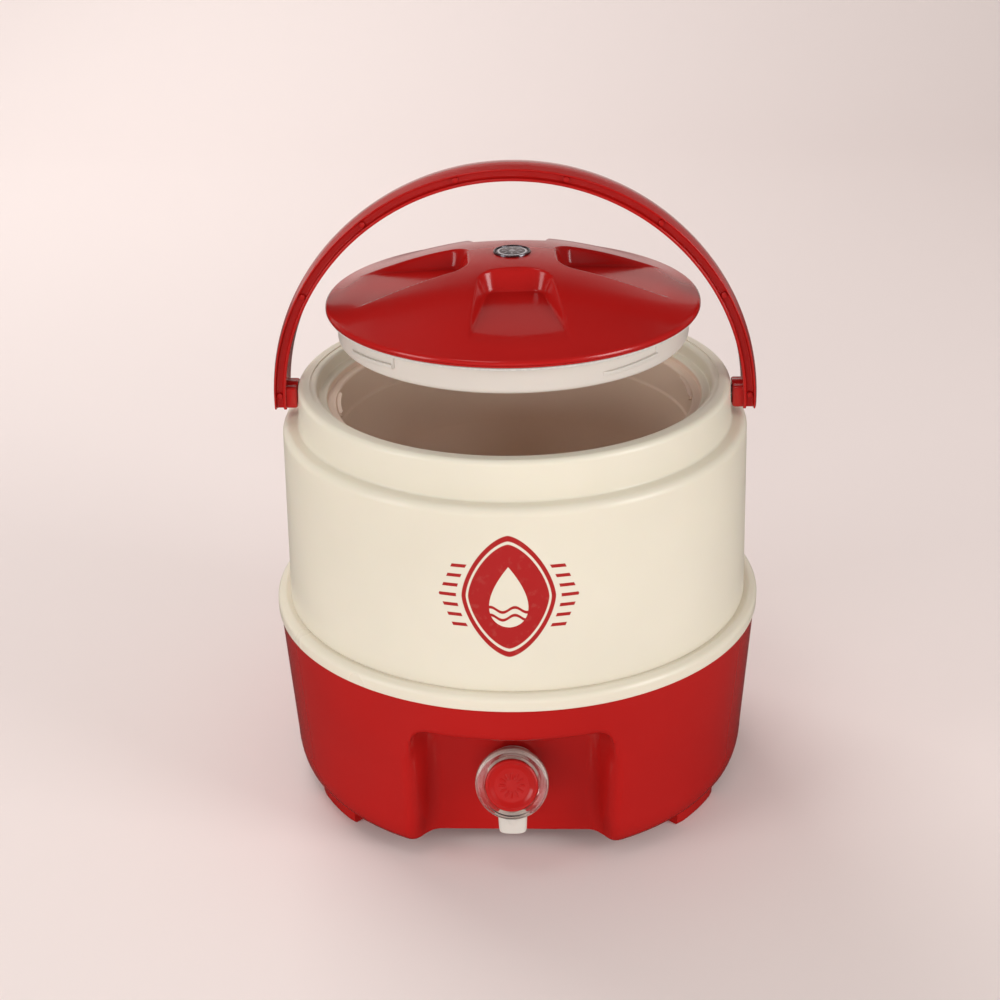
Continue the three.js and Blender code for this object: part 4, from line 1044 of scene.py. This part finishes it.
def build_stage():
    scene = bpy.context.scene
    half_width, front, bend, radius, height = 3.4, -3.2, 1.3, 0.9, 3.4
    sweep = [(front, 0.0), (bend, 0.0)]
    sweep += [(bend + radius * sin(a), radius - radius * cos(a)) for a in np.linspace(0.1, pi / 2, 16)]
    sweep.append((bend + radius, height))
    vertices = [(x / MM, y / MM, z / MM) for y, z in sweep for x in (-half_width, half_width)]
    floor = new_object("floor", vertices, grid_faces(len(sweep), 2, wrap_columns=False), 60)
    floor.data.materials.append(stage_finish("pale_floor", tuple(scene.jug_colors.floor)))
    for name, spot, width, depth, power, mirrored in LAMPS:
        light = bpy.data.lights.new(name, "AREA")
        light.shape, light.size, light.size_y, light.energy = "RECTANGLE", width, depth, power
        lamp = bpy.data.objects.new(name, light)
        lamp.location, lamp.visible_glossy = spot, mirrored
        lamp.rotation_euler = (Vector(LAMP_TARGET) - Vector(spot)).to_track_quat("-Z", "Y").to_euler()
        scene.collection.objects.link(lamp)
    build_sky()
    lens = bpy.data.cameras.new("view")
    lens.lens, lens.sensor_width = scene.jug_sizes.lens, 36
    camera = bpy.data.objects.new("view", lens)
    scene.collection.objects.link(camera)
    turn = Vector(CAMERA_AHEAD).to_track_quat("-Z", "Y").to_matrix().to_4x4()
    roll = Matrix.Rotation(radians(CAMERA_ROLL), 4, "Z")
    camera.matrix_world = Matrix.Translation(CAMERA_SPOT) @ turn @ roll
    scene.camera = camera
    scene.view_settings.view_transform = "Standard"


# What a user can set, and what builds each group
def number(name, description, default, unit="LENGTH"):
    return bpy.props.FloatProperty(name=name, description=description, default=default, unit=unit)


def tint(name, description, default):
    return bpy.props.FloatVectorProperty(
        name=name, description=description, default=default, subtype="COLOR", size=3, min=0, max=1)


class JugSizes(bpy.types.PropertyGroup):
    """Sizes and places of the jug's pieces"""
    lid_height: number("Lid height", "Height of the lid's lower edge as it is held open", 0.2547)
    lid_turn: number("Lid turn", "How far the lid is turned at rest", radians(4), "ROTATION")
    pivot_height: number("Pivot height", "Height of the pins that the bail turns on", 0.2075)
    barrel_height: number("Barrel height", "Height of the tap's barrel through the wall", 0.0463)
    head_depth: number("Head depth", "How far the tap's head lies in front of the axis", 0.10944)
    head_height: number("Head height", "Height of the middle of the tap's head", 0.04857)
    head_tilt: number("Head tilt", "How far the button looks up", radians(20), "ROTATION")
    print_height: number("Print height", "Height of the middle of the printed badge", 0.153)
    lens: number("Lens", "Focal length of the camera in millimetres", 66.2, "NONE")


class JugColors(bpy.types.PropertyGroup):
    """Colours of the jug's plastics and of the floor"""
    shell: tint("Shell", "Cream of the outer shell", CREAM)
    red: tint("Red", "Red of base, bail, lid and button", RED)
    white: tint("White", "White of the plug and the tap", WHITE)
    # The liner's colour is painted shade: the cream liner browned and darkened for its deep inside
    liner: tint("Liner", "Colour of the liner", LINER_IN_PAINTED_SHADE)
    floor: tint("Floor", "Colour of floor and backdrop", FLOOR)


class JUG_OT_body(bpy.types.Operator):
    """Builds the shell, the skirt ring, the liner, the base and the feet"""
    bl_idname, bl_label = "jug.body", "Body"

    def execute(self, context):
        build_shell()
        build_skirt_ring()
        build_liner()
        build_base()
        build_feet()
        paint_hidden()
        return {"FINISHED"}


class JUG_OT_bail(bpy.types.Operator):
    """Builds the bail with its pips and pivot pins"""
    bl_idname, bl_label = "jug.bail", "Bail"

    def execute(self, context):
        build_bail()
        return {"FINISHED"}


class JUG_OT_lid(bpy.types.Operator):
    """Builds the lid's top, plug, ramps, seal and badge"""
    bl_idname, bl_label = "jug.lid", "Lid"

    def execute(self, context):
        build_lid()
        build_plug()
        build_seal()
        build_badge()
        return {"FINISHED"}


class JUG_OT_tap(bpy.types.Operator):
    """Builds the tap, its clear collar, the button and the valve inside"""
    bl_idname, bl_label = "jug.tap", "Tap"

    def execute(self, context):
        build_tap()
        build_tap_inside()
        return {"FINISHED"}


class JUG_OT_stage(bpy.types.Operator):
    """Sets up the floor, the lamps and the camera"""
    bl_idname, bl_label = "jug.stage", "Stage"

    def execute(self, context):
        build_stage()
        return {"FINISHED"}


class JUG_PT_panel(bpy.types.Panel):
    """Lists the jug's groups, sizes and colours"""
    bl_idname, bl_label = "JUG_PT_panel", "Jug"
    bl_space_type, bl_region_type, bl_category = "VIEW_3D", "UI", "Jug"

    def draw(self, context):
        for operator in OPERATORS:
            self.layout.operator(operator.bl_idname)
        for group in (context.scene.jug_sizes, context.scene.jug_colors):
            for key in group.__annotations__:
                self.layout.prop(group, key)


OPERATORS = (JUG_OT_body, JUG_OT_bail, JUG_OT_lid, JUG_OT_tap, JUG_OT_stage)
CLASSES = (JugSizes, JugColors, *OPERATORS, JUG_PT_panel)


def register():
    for cls in CLASSES:
        bpy.utils.register_class(cls)
    bpy.types.Scene.jug_sizes = bpy.props.PointerProperty(type=JugSizes)
    bpy.types.Scene.jug_colors = bpy.props.PointerProperty(type=JugColors)


def unregister():
    del bpy.types.Scene.jug_sizes, bpy.types.Scene.jug_colors
    for cls in reversed(CLASSES):
        bpy.utils.unregister_class(cls)


def main():
    register()
    bpy.ops.jug.body()
    bpy.ops.jug.bail()
    bpy.ops.jug.lid()
    bpy.ops.jug.tap()
    bpy.ops.jug.stage()


if __name__ == "__main__":
    main()
